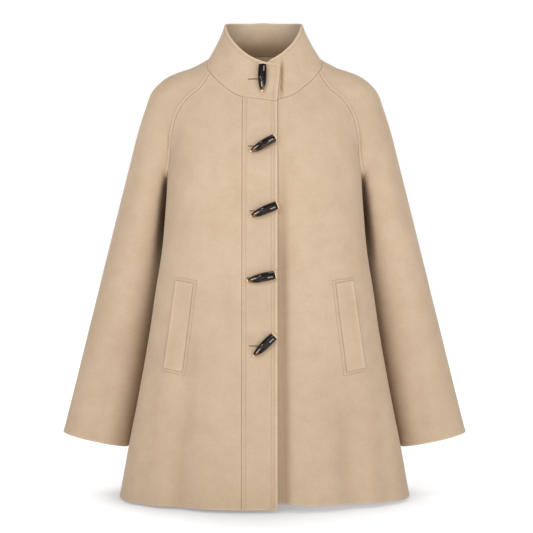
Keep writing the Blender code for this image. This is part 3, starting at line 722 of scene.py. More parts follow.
    def sleeve_points(self, station: Array, turn: Array) -> Array:
        """Points of the sleeve's form, cast from the arm's line at stations and turns.

        Args:
            station: places along the arm's line.
            turn: degrees round it from its upper side.

        Returns:
            The points on the cloth.
        """
        keys = np.arange(self.samples)
        line = np.stack([np.interp(station, keys, self.arm[:, k]) for k in (0, 4, 1)], -1)
        ahead, behind = (np.stack([np.interp(station + off, keys, self.arm[:, k])
                                   for k in (0, 1)], -1) for off in (1.5, -1.5))
        run = unit(ahead - behind)
        turn = np.radians(turn)
        direction = np.stack([-run[..., 1] * np.cos(turn), -np.sin(turn),
                              run[..., 0] * np.cos(turn)], -1)
        return self.cast(self.sleeve_form, line, direction, 0.16)


# ---- the cut
# the collar's edge from its sides round the back: degrees from the front and height in mm
COLLAR_BEHIND: Rows = ((80, 59.5), (92, 64.5), (108, 69.5), (135, 74.5), (180, 79))


@dataclass
class Pattern:
    """The pieces as a maker cuts them, as grids of points on the form."""

    form: Form
    fine: int = 4
    band_seam_x: float = -38 * MM
    band_edge_x: float = 22 * MM
    underlap_x: float = -32 * MM
    underlap_rise: float = 9 * MM
    front_raglan_angle: float = 59.0
    back_raglan_angle: float = 128.0
    shoulder_angle: float = 93.0
    underarm: float = -232 * MM
    sleeve_join_mm: Row = (203, -256)
    front_raglan_mm: Rows = ((113, -60), (131, -74), (149, -97), (159, -125), (164, -155),
                             (166, -186))
    back_raglan_mm: Rows = ((104, -30), (126, -66), (145, -108), (157, -150))
    # height  depth
    set_back_mm: Rows = ((80, 4.0), (-83, 4.2), (-300, 4.6), (-500, 6.5), (-774, 9.5), (-830, 10))
    set_back_run: float = 42 * MM
    collar_half_width: float = 69.5 * MM
    collar_shift: float = -1.5 * MM
    collar_front: float = 81 * MM
    collar_back: float = 66 * MM
    collar_waist: float = 2.0 * MM
    collar_swing: float = 9.5
    collar_right_mm: Rows = (
        (-28, -18.5), (-12, -17.5), (0, -15.5), (9, -10.5), (16, -5.5), (25, 3), (37, 16),
        (50, 30), (62, 43), (70, 52), *COLLAR_BEHIND)
    collar_left_mm: Rows = (
        (-28, -26), (0, -19), (5, -15.5), (10, -10.5), (17, -5), (25, 2), (35, 12), (43, 20),
        (54, 32.5), (62, 42), (70, 51.5), *COLLAR_BEHIND)

    def counts(self, *base: int) -> list[int]:
        """Row or column counts of this grid, from those of the solids."""
        return [self.fine * count for count in base]

    def raglan_seam(self, stations_mm: Rows, neck_angle: float,
                    facing: int) -> tuple[Array, Array]:
        """Angles and heights along a raglan seam, from the neck to the top of the side seam.

        Args:
            stations_mm: x and z of the seam's points in the front or back view.
            neck_angle: where it starts on the neck seam.
            facing: -1 for the front, 1 for the back.

        Returns:
            Angles in degrees and heights in metres.
        """
        form = self.form
        x, z = np.array(stations_mm, float).T * MM
        points = [(neck_angle, float(form.neck_height(neck_angle))),
                  *zip(form.angle_at(x, z, facing), z)]
        last_angle, last_z = points[-1]
        for turn in np.linspace(0, math.pi / 2, 6)[1:]:
            points.append((last_angle + (form.side_seam - last_angle) * (1 - math.cos(turn)),
                           last_z + (self.underarm - last_z) * math.sin(turn)))
        keyed = curve_through(np.array(points) * [MM, 1.0], 300)
        fine = form.body_point(keyed[:, 0] / MM, keyed[:, 1])
        even = resample(np.column_stack([fine, keyed]), self.counts(9)[0])
        return even[:, 3] / MM, even[:, 4]

    def outer_boundary(self, seam: tuple[Array, Array], side: int) -> Array:
        """Angle and height up a panel's outer edge: the side seam, then a raglan seam.

        Args:
            seam: the raglan seam's angles and heights.
            side: 1 for the wearer's left, -1 for the right.

        Returns:
            Rows of angle and height, hem to neck.
        """
        rows = self.counts(17)[0]
        start = float(self.form.hem_height(self.form.side_seam))
        low = np.column_stack([np.full(rows + 1, self.form.side_seam),
                               np.linspace(start, self.underarm, rows + 1)])
        edge = np.vstack([low, np.column_stack([seam[0][::-1], seam[1][::-1]])[1:]])
        edge[:, 0] *= side
        return edge

    def edge_at_x(self, x: float, low: float, high: float) -> Array:
        """Angle and height up a straight edge at a fixed x.

        Args:
            x: the edge's place across.
            low: the height of its foot.
            high: the height of its top.

        Returns:
            Rows of angle and height.
        """
        body, cap = self.counts(17, 9)
        crossing = self.underarm + 46 * MM
        heights = np.concatenate([np.linspace(low, crossing, body + 1),
                                  np.linspace(crossing, high, cap + 1)[1:]])
        return np.column_stack([self.form.angle_at(x, heights, -1), heights])

    def neck_z_at_x(self, x: float) -> float:
        """Height of the neck seam where it passes x.

        Args:
            x: the place across in metres.

        Returns:
            The height in metres.
        """
        low, high = -60.0, 60.0
        for _ in range(26):
            middle = (low + high) / 2
            if self.form.body_point(middle, self.form.neck_height(middle))[0] < x:
                low = middle
            else:
                high = middle
        return float(self.form.neck_height(low))

    def patch(self, outer: Array, inner: Array, foot: Array, top: Array) -> Array:
        """A grid of angles and heights spanned between four edges.

        Args:
            outer: rows of the side at column 0.
            inner: rows of the side at the last column.
            foot: points of the lowest row.
            top: points of the highest row.

        Returns:
            The grid, rows x columns x 2.
        """
        u = np.linspace(0, 1, len(foot))[None, :, None]
        v = np.linspace(0, 1, len(outer))[:, None, None]
        corners = ((1 - u) * (1 - v) * foot[0] + u * (1 - v) * foot[-1]
                   + (1 - u) * v * top[0] + u * v * top[-1])
        return ((1 - u) * outer[:, None] + u * inner[:, None]
                + (1 - v) * foot[None] + v * top[None] - corners)

    def even_rows(self, points: Array) -> Array:
        """The same rows with their points evenly spaced."""
        return np.stack([resample(row, points.shape[1] - 1) for row in points])

    def set_back(self, points: Array) -> Array:
        """The left front's points, moved back where it passes under the button band.

        Args:
            points: the panel's points.

        Returns:
            The moved points.
        """
        depth = smooth_table(self.set_back_mm, points[..., 2] / MM)[..., 0] * MM
        share = 1 - smooth_step((points[..., 0] - self.band_edge_x - 2 * MM)
                                / self.set_back_run)
        share = np.where(points[..., 1] < 0, share, 0)
        return points + np.stack([0 * depth, depth * share, 0 * depth], -1)

    def front_panel(self, outer: Array, inner: Array, columns: int, rise: float = 0.0) -> Array:
        """A front: from its side and raglan seams to its inner edge, hem to neck.

        Args:
            outer: angles and heights up its outer edge.
            inner: the same for its inner edge.
            columns: how many steps it has across.
            rise: how far the hem lifts towards the middle.

        Returns:
            The panel's grid of points.
        """
        form = self.form
        low = np.linspace(outer[0, 0], inner[0, 0], columns + 1)
        foot = np.column_stack([low, form.hem_height(low)
                                + rise * (1 - np.abs(low) / form.side_seam)])
        high = np.linspace(outer[-1, 0], inner[-1, 0], columns + 1)
        top = np.column_stack([high, form.neck_height(high)])
        top[-1], foot[-1] = inner[-1], inner[0]
        grid = self.patch(outer, inner, foot, top)
        return self.even_rows(form.body_point(grid[..., 0], grid[..., 1]))

    def body_panels(self, front_seam: tuple, back_seam: tuple) -> dict[str, Array]:
        """The right front, its band, the left front and the back.

        Args:
            front_seam: the front raglan seam's angles and heights.
            back_seam: the back one's.

        Returns:
            The grids by piece.
        """
        form = self.form
        rows, front, band_columns, back_columns = self.counts(17, 11, 3, 22)
        band_seam = self.edge_at_x(self.band_seam_x, form.hem, self.neck_z_at_x(self.band_seam_x))
        band_edge = self.edge_at_x(self.band_edge_x, form.hem,
                                   self.neck_z_at_x(self.band_edge_x) - 4 * MM)
        underlap = self.edge_at_x(self.underlap_x, form.hem + self.underlap_rise,
                                  self.neck_z_at_x(self.underlap_x))
        right = self.front_panel(self.outer_boundary(front_seam, -1), band_seam, front)
        share = np.linspace(0, 1, band_columns + 1)[None, :, None]
        grid = band_seam[:, None] * (1 - share) + band_edge[:, None] * share
        band = form.body_point(grid[..., 0], grid[..., 1])
        band[:, 0] = right[:, -1]
        left = self.set_back(self.front_panel(self.outer_boundary(front_seam, 1), underlap,
                                              front + band_columns, self.underlap_rise))[:, ::-1]
        edges = {side: self.outer_boundary(back_seam, side) for side in (-1, 1)}
        edges[-1][:, 0] += 360
        low = np.linspace(edges[1][0, 0], edges[-1][0, 0], back_columns + 1)
        high = np.linspace(edges[1][-1, 0], edges[-1][-1, 0], back_columns + 1)
        wrapped = np.where(high > 180, high - 360, high)
        grid = self.patch(edges[1], edges[-1], np.column_stack([low, form.hem_height(low)]),
                          np.column_stack([high, form.neck_height(wrapped)]))
        back = self.even_rows(form.body_point(grid[..., 0], grid[..., 1]))
        back[:rows + 1, 0] = left[:rows + 1, -1]
        back[:rows + 1, -1] = right[:rows + 1, 0]
        return {"front_right": right, "front_band": band, "front_left": left, "back": back}

    def half_sleeve(self, seam: tuple, neck_angles: Row, facing: int) -> Array:
        """One half of a sleeve on the +X side, from the overarm seam to the raglan and underarm
        seams, neck to cuff.

        Args:
            seam: the raglan seam's angles and heights.
            neck_angles: where the half starts and ends on the neck seam.
            facing: -1 for the front half, 1 for the back.

        Returns:
            The half's grid of points.
        """
        form = self.form
        columns, cap_rows, tube_rows = self.counts(8, 9, 14)
        raglan = form.body_point(*seam)
        neck_turn = np.linspace(*neck_angles, columns + 1)
        neck = form.body_point(neck_turn, form.neck_height(neck_turn))
        join = form.station_of(*(value * MM for value in self.sleeve_join_mm))
        u = np.linspace(0, 1, columns + 1)
        inner_station, inner_turn = form.arm_place(raglan)
        inner_turn = np.degrees(np.unwrap(np.radians(inner_turn)))
        inner_station = np.interp(np.arange(cap_rows + 1), np.arange(0, cap_rows + 1, self.fine),
                                  inner_station[::self.fine])
        last = form.station_of(raglan[-1, 0] + 40 * MM, raglan[-1, 2] + 10 * MM)
        ease = np.linspace(0, 1, self.fine + 1)
        inner_station[-self.fine - 1:] = (inner_station[-self.fine - 1] * (1 - ease)
                                          + last * ease)
        fine = np.linspace(form.station_of(neck[0, 0], -60 * MM), join, 60)
        overarm = form.sleeve_points(fine, 0 * fine)
        outer_station = resample(np.column_stack([overarm, fine]), cap_rows)[:, 3]
        v = np.linspace(0, 1, cap_rows + 1)[:, None]
        reach = u[None] ** (1 + 2 * v)
        station = outer_station[:, None] * (1 - reach) + inner_station[:, None] * reach
        cap = form.sleeve_points(station, inner_turn[:, None] * u[None])
        miss = raglan - cap[:, -1]
        cap = cap + miss[:, None] * (u[None] ** 6)[..., None]
        above = neck - cap[0]
        cap = cap + above[None] * (1 - smooth_step(v * 9.0))[..., None]
        cap[0], cap[:, -1] = neck, raglan
        rows = np.arange(1, tube_rows + 1)[:, None]
        lift = (join - inner_station[-1]) * (1 - smooth_step(rows / (5.0 * self.fine)))
        station = (join + (form.samples - 1 - join) * rows / tube_rows - lift * u[None] ** 3)
        turn = np.broadcast_to(-180.0 * facing * u[None], station.shape)
        tube = form.sleeve_points(station, turn)
        fade = u[None] ** 6 * (1 - smooth_step(rows / (2.0 * self.fine)))
        return np.vstack([self.even_rows(cap), tube + miss[-1] * fade[..., None]])

    def mirrored(self, points: Array) -> Array:
        """The other side's piece, with its columns turned so that it still faces out."""
        return (points * [-1.0, 1.0, 1.0])[:, ::-1]

    def chain(self, rows: list[Array]) -> Array:
        """Rows of points that meet end to end, as one row.

        Args:
            rows: the rows, in order.

        Returns:
            The row, without doubled ends.
        """
        line = rows[0]
        for row in rows[1:]:
            if np.linalg.norm(row[-1] - line[-1]) < np.linalg.norm(row[0] - line[-1]):
                row = row[::-1]
            line = np.vstack([line, row[1:]])
        return line

    def collar_grid(self, neck: Array) -> Array:
        """The stand collar on the neck seam's points, from the end that lies under it round the
        neck to its free end on the button band, base to edge.

        Args:
            neck: the neck seam's points.

        Returns:
            The collar's grid of points.
        """
        angle = np.degrees(np.unwrap(np.arctan2(neck[:, 0], -neck[:, 1])))
        over = smooth_step((angle - angle[-1] + 75) / 75)
        under = smooth_step((angle[0] + 110 - angle) / 55)
        top_angle = angle + self.collar_swing * over - 4.0 * under
        turned = (top_angle + 180) % 360 - 180
        right_key = np.where(np.abs(top_angle - 360) < 60, 360 - top_angle, np.abs(turned))
        left_key = np.where(np.abs(top_angle) < 60, top_angle, np.abs(turned))
        heights = np.where(top_angle > 180, smooth_table(self.collar_right_mm, right_key)[..., 0],
                           smooth_table(self.collar_left_mm, left_key)[..., 0]) * MM
        recess = smooth_table(self.set_back_mm, 0.0)[0] * MM
        turn = np.radians(top_angle)
        depth = np.where(np.cos(turn) > 0, self.collar_front, self.collar_back)
        radius = np.hypot(np.sin(turn) / self.collar_half_width, np.cos(turn) / depth) ** -1.0
        radius = radius + 2.5 * MM * over - recess * under
        top = np.stack([radius * np.sin(turn) + self.collar_shift, -radius * np.cos(turn),
                        heights], -1)
        turn = np.radians(angle)
        outward = np.column_stack([np.sin(turn), -np.cos(turn), 0 * turn])
        share = np.linspace(0, 1, self.counts(4)[0] + 1)[:, None, None]
        return neck * (1 - share) + top * share - outward * (
            self.collar_waist * 4 * share * (1 - share))

    def grids(self) -> dict[str, Array]:
        """Every piece that is cut from the cloth, by name.

        Returns:
            The grids by piece.
        """
        front_seam = self.raglan_seam(self.front_raglan_mm, self.front_raglan_angle, -1)
        back_seam = self.raglan_seam(self.back_raglan_mm, self.back_raglan_angle, 1)
        made = self.body_panels(front_seam, back_seam)
        front = self.half_sleeve(front_seam, (self.shoulder_angle, self.front_raglan_angle), -1)
        back = self.half_sleeve(back_seam, (self.shoulder_angle, self.back_raglan_angle),
                                1)[:, ::-1]
        made.update(sleeve_left_front=front, sleeve_left_back=back,
                    sleeve_right_front=self.mirrored(front),
                    sleeve_right_back=self.mirrored(back))
        neck = self.chain([made["front_left"][-1], front[0][::-1], back[0], made["back"][-1],
                           made["sleeve_right_back"][0], made["sleeve_right_front"][0],
                           made["front_right"][-1], made["front_band"][-1]])
        made["collar"] = self.collar_grid(neck)
        return made

    def shared_normals(self, grids: dict[str, Array]) -> dict[str, Array]:
        """Outward directions at each point of each grid, the same for both pieces at a seam.

        Args:
            grids: the grids by piece.

        Returns:
            Unit directions by piece.
        """
        total: dict[tuple, Array] = {}
        keys = {}
        for name, points in grids.items():
            keys[name] = [tuple(k) for k in
                          np.round(points.reshape(-1, 3) / (0.02 * MM)).astype(int).tolist()]
            faces = np.zeros(points.shape)
            corners = [points[:-1, :-1], points[:-1, 1:], points[1:, 1:], points[1:, :-1]]
            cross = np.cross(corners[2] - corners[0], corners[3] - corners[1])
            for rows in (np.s_[:-1], np.s_[1:]):
                for columns in (np.s_[:-1], np.s_[1:]):
                    faces[rows, columns] += cross
            for key, face in zip(keys[name], faces.reshape(-1, 3)):
                total[key] = total.get(key, 0) + face
        return {name: unit(np.array([total[key] for key in keys[name]])).reshape(points.shape)
                for name, points in grids.items()}


# ---- folds and edges
class Zone(Enum):
    """What a fold lies on."""

    FRONT = "front"
    UNDER_BAND = "under_band"
    BACK = "back"
    SLEEVE_FRONT = "sleeve_front"
    SLEEVE_BACK = "sleeve_back"
    COLLAR = "collar"


@dataclass(frozen=True)
class Fold:
    """A soft trough or ridge of the cloth, placed as it is seen from the front or back.

    x and z of both ends, the half width and the height out of the cloth are in millimetres. It
    starts from nothing, and `stop` says how much of its height is left at its end. `tone` is the
    painted shade that lies in it, 0 to 1.
    """

    zone: Zone
    ends: Row
    width: float
    height: float
    stop: float = 0.0
    tone: float = 0.0

    def share(self, points: Array, normals: Array, zones: tuple[Zone, ...]) -> Array:
        """How much of the fold is at each point, 0 to 1.

        Args:
            points: the cloth's outer face.
            normals: its outward directions.
            zones: what the cloth is.

        Returns:
            The shares.
        """
        if self.zone not in zones:
            return np.zeros(points.shape[:-1])
        x0, z0, x1, z1 = np.array(self.ends) * MM
        run = np.array([x1 - x0, z1 - z0])
        length = float(np.hypot(*run))
        run = run / length
        off = points[..., ::2] - np.array([x0, z0])
        along = (off @ run) / length
        away = off[..., 0] * run[1] - off[..., 1] * run[0]
        body = smooth_step(along / 0.35) * (
            self.stop + (1 - self.stop) * smooth_step((1 - along) / 0.35))
        ends = smooth_step(1 + along * length / (2.5 * self.width * MM)) * smooth_step(
            1 + (1 - along) * length / (2.5 * self.width * MM))
        facing = smooth_step(np.abs(normals[..., 1]) / 0.35)
        return bell(away / (self.width * MM)) * body * ends * facing


F, U, B, SF, SB, C = Zone
# zone, ends, half width, height, stop, tone (painted shade)
FOLDS: tuple[Fold, ...] = tuple(Fold(*row) for row in (
    (F, (-121, -440, -152, -790), 15, -4.4, 1.0, 0.1),
    (F, (-88, -560, -100, -790), 22, 2.4, 1.0),
    (F, (-186, -470, -214, -790), 15, -2.8, 1.0),
    (F, (-152, -590, -176, -790), 13, 2.0, 1.0),
    (F, (130, -570, 148, -790), 15, -4.2, 1.0, 0.1),
    (F, (96, -540, 104, -790), 20, 2.0, 1.0),
    (F, (166, -600, 186, -790), 13, 2.2, 1.0),
    (F, (186, -420, 216, -790), 15, -2.8, 1.0),
    (F, (-152, -172, -112, -280), 12, -1.8),
    (F, (152, -165, 116, -290), 12, -2.0),
    (F, (-66, -110, -112, -118), 15, -1.0),
    (F, (70, -112, 118, -126), 14, -0.9),
    (F, (-128, -250, -70, -310), 16, -1.1),
    (F, (124, -262, 60, -330), 17, -1.2),
    (U, (27, -230, 33, -790), 8, -5.0, 1.0),
    # painted shadow beside the button band's edge
    (U, (31, -140, 33, -790), 8, 0.0, 1.0, 0.5),
    (B, (-118, -330, -134, -790), 20, -3.6, 1.0),
    (B, (-40, -420, -48, -790), 22, -2.8, 1.0),
    (B, (48, -380, 56, -790), 20, -3.2, 1.0),
    (B, (124, -350, 142, -790), 19, -3.4, 1.0),
    (B, (-140, -150, -96, -260), 14, -2.2),
    (B, (142, -146, 92, -250), 14, -2.0),
    (B, (-60, -20, 64, -26), 12, -1.0),
    (SF, (-173, -128, -172, -232), 6, -4.0, 0.6),
    (SF, (173, -124, 172, -230), 6, -4.0, 0.6),
    (SF, (-169, -206, -187, -372), 8, -5.5),
    (SF, (169, -202, 189, -380), 8, -5.5),
    (SF, (-212, -190, -226, -330), 13, 2.2),
    (SF, (214, -176, 236, -340), 13, 2.4),
    (SF, (-196, -262, -252, -300), 9, -1.8),
    (SF, (200, -254, 262, -286), 9, -1.7),
    (SF, (-236, -360, -286, -384), 10, -1.5),
    (SF, (240, -372, 292, -402), 10, -1.6),
    (SF, (-262, -470, -300, -690), 14, -1.6, 1.0),
    (SF, (256, -480, 288, -690), 15, -1.8, 1.0),
    (SB, (-176, -150, -192, -360), 12, -7.0),
    (SB, (178, -150, 196, -370), 12, -7.0),
    (SB, (-206, -250, -262, -284), 10, -2.0),
    (SB, (210, -262, 268, -300), 10, -2.0),
    (SB, (-244, -380, -296, -410), 11, -1.6),
    (SB, (250, -396, 300, -420), 11, -1.5),
    (SB, (-256, -500, -284, -690), 15, -1.8, 1.0),
    (SB, (268, -490, 304, -690), 14, -1.6, 1.0),
    (C, (-83, 34, -76, -6), 7, -1.2),
    (C, (-60, 30, -58, -16), 6, 0.7),
    (C, (78, 34, 70, -10), 8, -1.0),
    (C, (34, 12, 30, -18), 6, -0.6),
    # painted shadow beside the collar's free end
    (C, (30.8, -2, 29, -90), 2.8, 0.0, 0.1, 0.95),
))


class EdgeKind(Enum):
    """How an edge of a piece is finished."""

    SEAM = "seam"
    LAP = "lap"
    TURNED = "turned"


@dataclass(frozen=True)
class Edge:
    """One edge of a piece: its finish, its rows of sewing and the share of it that they run.

    The edge rolls down over `roll_mm` by `drop_mm`, and `depth` scales its painted shade. What is
    folded under it swells the cloth as far as `allowance_mm`.
    """

    kind: EdgeKind = EdgeKind.SEAM
    sewing_mm: Row = ()
    until: float = 1.0
    allowance_mm: float = 9.0
    depth: float = 1.0
    roll_mm: float = 1.3
    drop_mm: float = 0.95
    groove_mm: float = 0.36
    groove_shade: float = 0.2
    seam_shade: float = 0.34
    lap_shade: float = 0.3
    turned_swell_mm: float = 0.4
    lap_swell_mm: float = 0.75

    def offsets(self) -> Array:
        """Distances from the edge at which the mesh has a line, in metres.

        Returns:
            The distances, rising.
        """
        base = [0.02, 0.4, 0.85, 1.4, 2.2, 3.4]
        for sewn in self.sewing_mm:
            base += [sewn - 1.5, sewn - 0.7, sewn, sewn + 0.7, sewn + 1.5]
        far = max([8.0, *[sewn + 4.0 for sewn in self.sewing_mm]])
        base = sorted({round(at, 2) for at in [*base, far]})
        kept = [base[0]]
        for at in base[1:]:
            if at - kept[-1] >= 0.28 or at in self.sewing_mm:
                kept.append(at)
        return np.array(kept) * MM

    def line_at(self, offset_mm: float) -> int:
        """Which of its lines lies at that distance."""
        return int(np.abs(self.offsets() - offset_mm * MM).argmin())

    def rise(self, away: Array, share: Array) -> tuple[Array, Array, Array]:
        """The outer face's height, the seam's painted shade and the rub and painted highlight on
        its ridge.

        Args:
            away: distance from the edge in metres.
            share: how much of the sewing is there, 0 to 1.

        Returns:
            Height in metres, painted shade and rub with painted highlight from 0 to 1.
        """
        d = away / MM
        roll = np.clip(1 - d / self.roll_mm, 0, 1)
        height = -self.drop_mm * (1 - np.sqrt(1 - roll**2))
        # painted shade along the seam line
        shade = self.seam_shade * bell(d / 0.9)
        rub_and_highlight = 0 * d
        if self.kind is EdgeKind.TURNED:
            swell = self.turned_swell_mm * (1 - smooth_step((d - self.allowance_mm + 3) / 4.0))
            height, shade, rub_and_highlight = height + swell, 0 * d, bell((d - 1.0) / 1.7)
        elif self.kind is EdgeKind.LAP:
            swell = self.lap_swell_mm * (1 - smooth_step((d - self.allowance_mm + 3) / 4.0))
            height, rub_and_highlight = height + swell * share, 0.8 * bell((d - 2.6) / 1.6) * share
            shade = self.lap_shade * bell(d / 0.8)
        else:
            rub_and_highlight = 0.3 * bell((d - 2.2) / 1.0)
        for sewn in self.sewing_mm:
            height = height - self.groove_mm * bell((d - sewn) / 0.8) * share
            shade = np.maximum(shade, self.groove_shade * bell((d - sewn) / 0.75) * share)
        return height * MM, shade * self.depth, rub_and_highlight


@dataclass
class Cloth:
    """A piece of cloth: a shell with rolled edges, sewing lines and folds on its grid.

    A seamed edge goes `reach` over the middle of its seam. `low_shade` paints shade on the inner
    face towards the foot, and `rim_light` paints light on it towards the top.
    """

    name: str
    grid: Array
    normals: Array
    zones: tuple[Zone, ...]
    left: Edge = Edge()
    right: Edge = Edge()
    foot: Edge = Edge()
    top: Edge = Edge()
    wall: float = 2.6 * MM
    rim_wall: float = 1.35 * MM
    rim_roll: float = 1.3 * MM
    spacing: float = 6 * MM
    corner: float = 0.0
    least_slant: float = 0.55
    folds: tuple[Fold, ...] = FOLDS
    reach: float = 0.12 * MM
    low_shade: float = 0.0
    rim_light: float = 0.0
    # height, the body's half width, the reach of the painted shade beside it and its depth
    armpit: Rows = (
        (-647, 235, 8, 0.0), (-575, 220, 8, 0.02), (-503, 210, 9, 0.05), (-449, 202, 12, 0.08),
        (-395, 192, 15, 0.2), (-359, 186, 17, 0.4), (-323, 179, 19, 0.75), (-287, 175.5, 18, 0.92),
        (-251, 174, 16, 0.7), (-232, 174, 12, 0.5), (-214, 175, 8, 0.16), (-203, 177, 6, 0.0))
    outer: Array = field(init=False)
    inner: Array = field(init=False)
    facing: Array = field(init=False)
    level: Array = field(init=False)
    painted_shade: Array = field(init=False)
    # rub and painted highlight on ridges, and painted light inside the collar's rim
    ridge: Array = field(init=False)
    distances: tuple[Array, ...] = field(init=False)

    def lines(self, first: Edge, last: Edge, length: Array, slant: Array) -> Array:
        """Places along each row: close to both edges by their offsets, even between them.

        Args:
            first: the edge at the row's start.
            last: the edge at its end.
            length: the rows' lengths.
            slant: how squarely each row meets both edges.

        Returns:
            Rows of places in metres.
        """
        near, far = first.offsets(), last.offsets()
        fit = np.minimum(1.0, 0.46 * length / np.maximum(near[-1], far[-1]) * slant.min())
        low = near[None] * fit[:, None] / slant[:, :1]
        high = length[:, None] - far[None, ::-1] * fit[:, None] / slant[:, 1:]
        count = max(int(round((length.max() - near[-1] - far[-1]) / self.spacing)), 2)
        share = np.linspace(0, 1, count + 1)[None, 1:-1]
        between = low[:, -1:] + (high[:, :1] - low[:, -1:]) * share
        return np.concatenate([low, between, high], 1)

    def across(self, channels: Array, first: Edge, last: Edge) -> tuple[Array, Array, Array]:
        """Reads the grid's rows at new places.

        Args:
            channels: the grid, with points in its first three channels.
            first: the edge at column 0.
            last: the edge at the last column.

        Returns:
            The new grid and each point's distance from both edges.
        """
        points = channels[..., :3]
        step = np.linalg.norm(np.diff(points, axis=1), axis=-1)
        along = np.concatenate([np.zeros((len(points), 1)), np.cumsum(step, 1)], 1)
        slant = []
        for edge, inner in ((0, 1), (-1, -2)):
            tangent = unit(np.gradient(points[:, edge], axis=0))
            inward = unit(points[:, inner] - points[:, edge])
            slant.append(np.linalg.norm(np.cross(tangent, inward), axis=-1))
        slant = np.clip(np.stack(slant, -1), self.least_slant, 1.0)
        wanted = self.lines(first, last, along[:, -1], slant)
        at = np.stack([np.interp(row, known, np.arange(len(known)))
                       for row, known in zip(wanted, along)])
        return (slide(channels, at), wanted * slant[:, :1],
                (along[:, -1:] - wanted) * slant[:, 1:])

    def refine(self) -> None:
        """Works out the outer face, its directions and its distances from the four edges."""
        channels = np.concatenate([self.grid, self.normals], -1)
        rows = np.linspace(0, 1, len(self.grid))[:, None, None]
        channels = np.concatenate([channels, np.broadcast_to(rows, (*self.grid.shape[:2], 1))],
                                  -1)
        made, to_left, to_right = self.across(channels, self.left, self.right)
        made = np.concatenate([made, to_left[..., None], to_right[..., None]], -1)
        turned, to_foot, to_top = self.across(made.transpose(1, 0, 2), self.foot, self.top)
        made = turned.transpose(1, 0, 2)
        self.outer, self.facing = made[..., :3], unit(made[..., 3:6])
        self.level = made[..., 6]
        self.distances = (made[..., 7], made[..., 8], to_foot.T, to_top.T)
        rims = ((np.s_[:, 0], np.s_[:, 1], self.left), (np.s_[:, -1], np.s_[:, -2], self.right),
                (np.s_[0], np.s_[1], self.foot), (np.s_[-1], np.s_[-2], self.top))
        for pick, inside, edge in rims:
            if edge.kind is not EdgeKind.TURNED:
                self.outer[pick] += unit(self.outer[pick] - self.outer[inside]) * self.reach
        if self.corner:
            self.round_corner()

    def round_corner(self) -> None:
        """Rounds the corner between the right edge and the top."""
        right, up = (np.clip(1 - self.distances[k] / self.corner, 0, 1) for k in (1, 3))
        pull_in = right * (1 - np.sqrt(1 - up**2 / 2)) * self.corner
        pull_down = up * (1 - np.sqrt(1 - right**2 / 2)) * self.corner
        across, along = (unit(np.gradient(self.outer, axis=axis)) for axis in (1, 0))
        self.outer = self.outer - across * pull_in[..., None] - along * pull_down[..., None]

    def gap_shade_share(self) -> Array:
        """How much painted shadow each point gets where the sleeve lies against the body, 0 to 1.

        Returns:
            The shares, for each point of the outer face.
        """
        if not {Zone.SLEEVE_FRONT, Zone.SLEEVE_BACK} & set(self.zones):
            return np.zeros(self.outer.shape[:-1])
        half, reach, depth = np.moveaxis(smooth_table(self.armpit, self.outer[..., 2] / MM), -1, 0)
        away = np.abs(self.outer[..., 0]) / MM - half
        below = smooth_step((-190 - self.outer[..., 2] / MM) / 12)
        return np.clip(depth, 0, 1) * smooth_step((reach - away) / (0.72 * reach)) * below

    def shaped(self) -> None:
        """Adds the folds, the rolled edges and the sewing lines to the outer face."""
        shares = [fold.share(self.outer, self.facing, self.zones) for fold in self.folds]
        blank = np.zeros(self.outer.shape[:-1])
        lift = sum((fold.height * MM * at for fold, at in zip(self.folds, shares)), blank)
        # painted shade in the folds' troughs
        fold_shade = sum((fold.tone * at for fold, at in zip(self.folds, shares)), blank)
        calm = np.minimum.reduce([smooth_step(away / (14 * MM)) for away in self.distances[:2]])
        lift = lift * (0.35 + 0.65 * calm)
        height = np.zeros(lift.shape)
        # painted shade, and rub with painted highlight, gathered from the four edges
        self.painted_shade, self.ridge = np.zeros(lift.shape), np.zeros(lift.shape)
        for side, away, edge in zip("lrft", self.distances,
                                    (self.left, self.right, self.foot, self.top)):
            share = np.ones(lift.shape)
            if side in "lr" and edge.until < 1:
                share = 1 - smooth_step((self.level - edge.until) / 0.03 + 0.5)
            rise, shade, rub_and_highlight = edge.rise(away, share)
            height = np.where(np.abs(rise) > np.abs(height), rise, height)
            self.painted_shade = np.maximum(self.painted_shade, shade)
            self.ridge = np.maximum(self.ridge, rub_and_highlight)
        self.painted_shade = np.clip(self.painted_shade + fold_shade, 0, 1)
        nearest = np.minimum.reduce(self.distances)
        roll = np.clip(1 - nearest / self.rim_roll, 0, 1)
        inner = self.wall - (self.wall - self.rim_wall) * (1 - np.sqrt(1 - roll**2))
        base = self.outer + self.facing * lift[..., None]
        self.inner = base - self.facing * inner[..., None]
        self.outer = base + self.facing * height[..., None]

    def line(self, side: str, offset_mm: float) -> tuple[Array, Array, Array]:
        """The outer face along a row of sewing.

        Args:
            side: l, r, f or t, for the left, right, foot or top edge.
            offset_mm: the sewing's distance from it.

        Returns:
            Points, outward directions and each point's share of the piece's length.
        """
        edge = {"l": self.left, "r": self.right, "f": self.foot, "t": self.top}[side]
        at = edge.line_at(offset_mm)
        at = at if side in "lf" else -1 - at
        pick = (np.s_[:], at) if side in "lr" else (at, np.s_[:])
        return self.outer[pick], self.facing[pick], self.level[pick]

    def tree(self) -> BVHTree:
        """A search tree of the outer face.

        Returns:
            The tree.
        """
        rows, columns = self.outer.shape[:2]
        return BVHTree.FromPolygons([Vector(p) for p in self.outer.reshape(-1, 3)],
                                    quads_of(rows, columns).tolist())

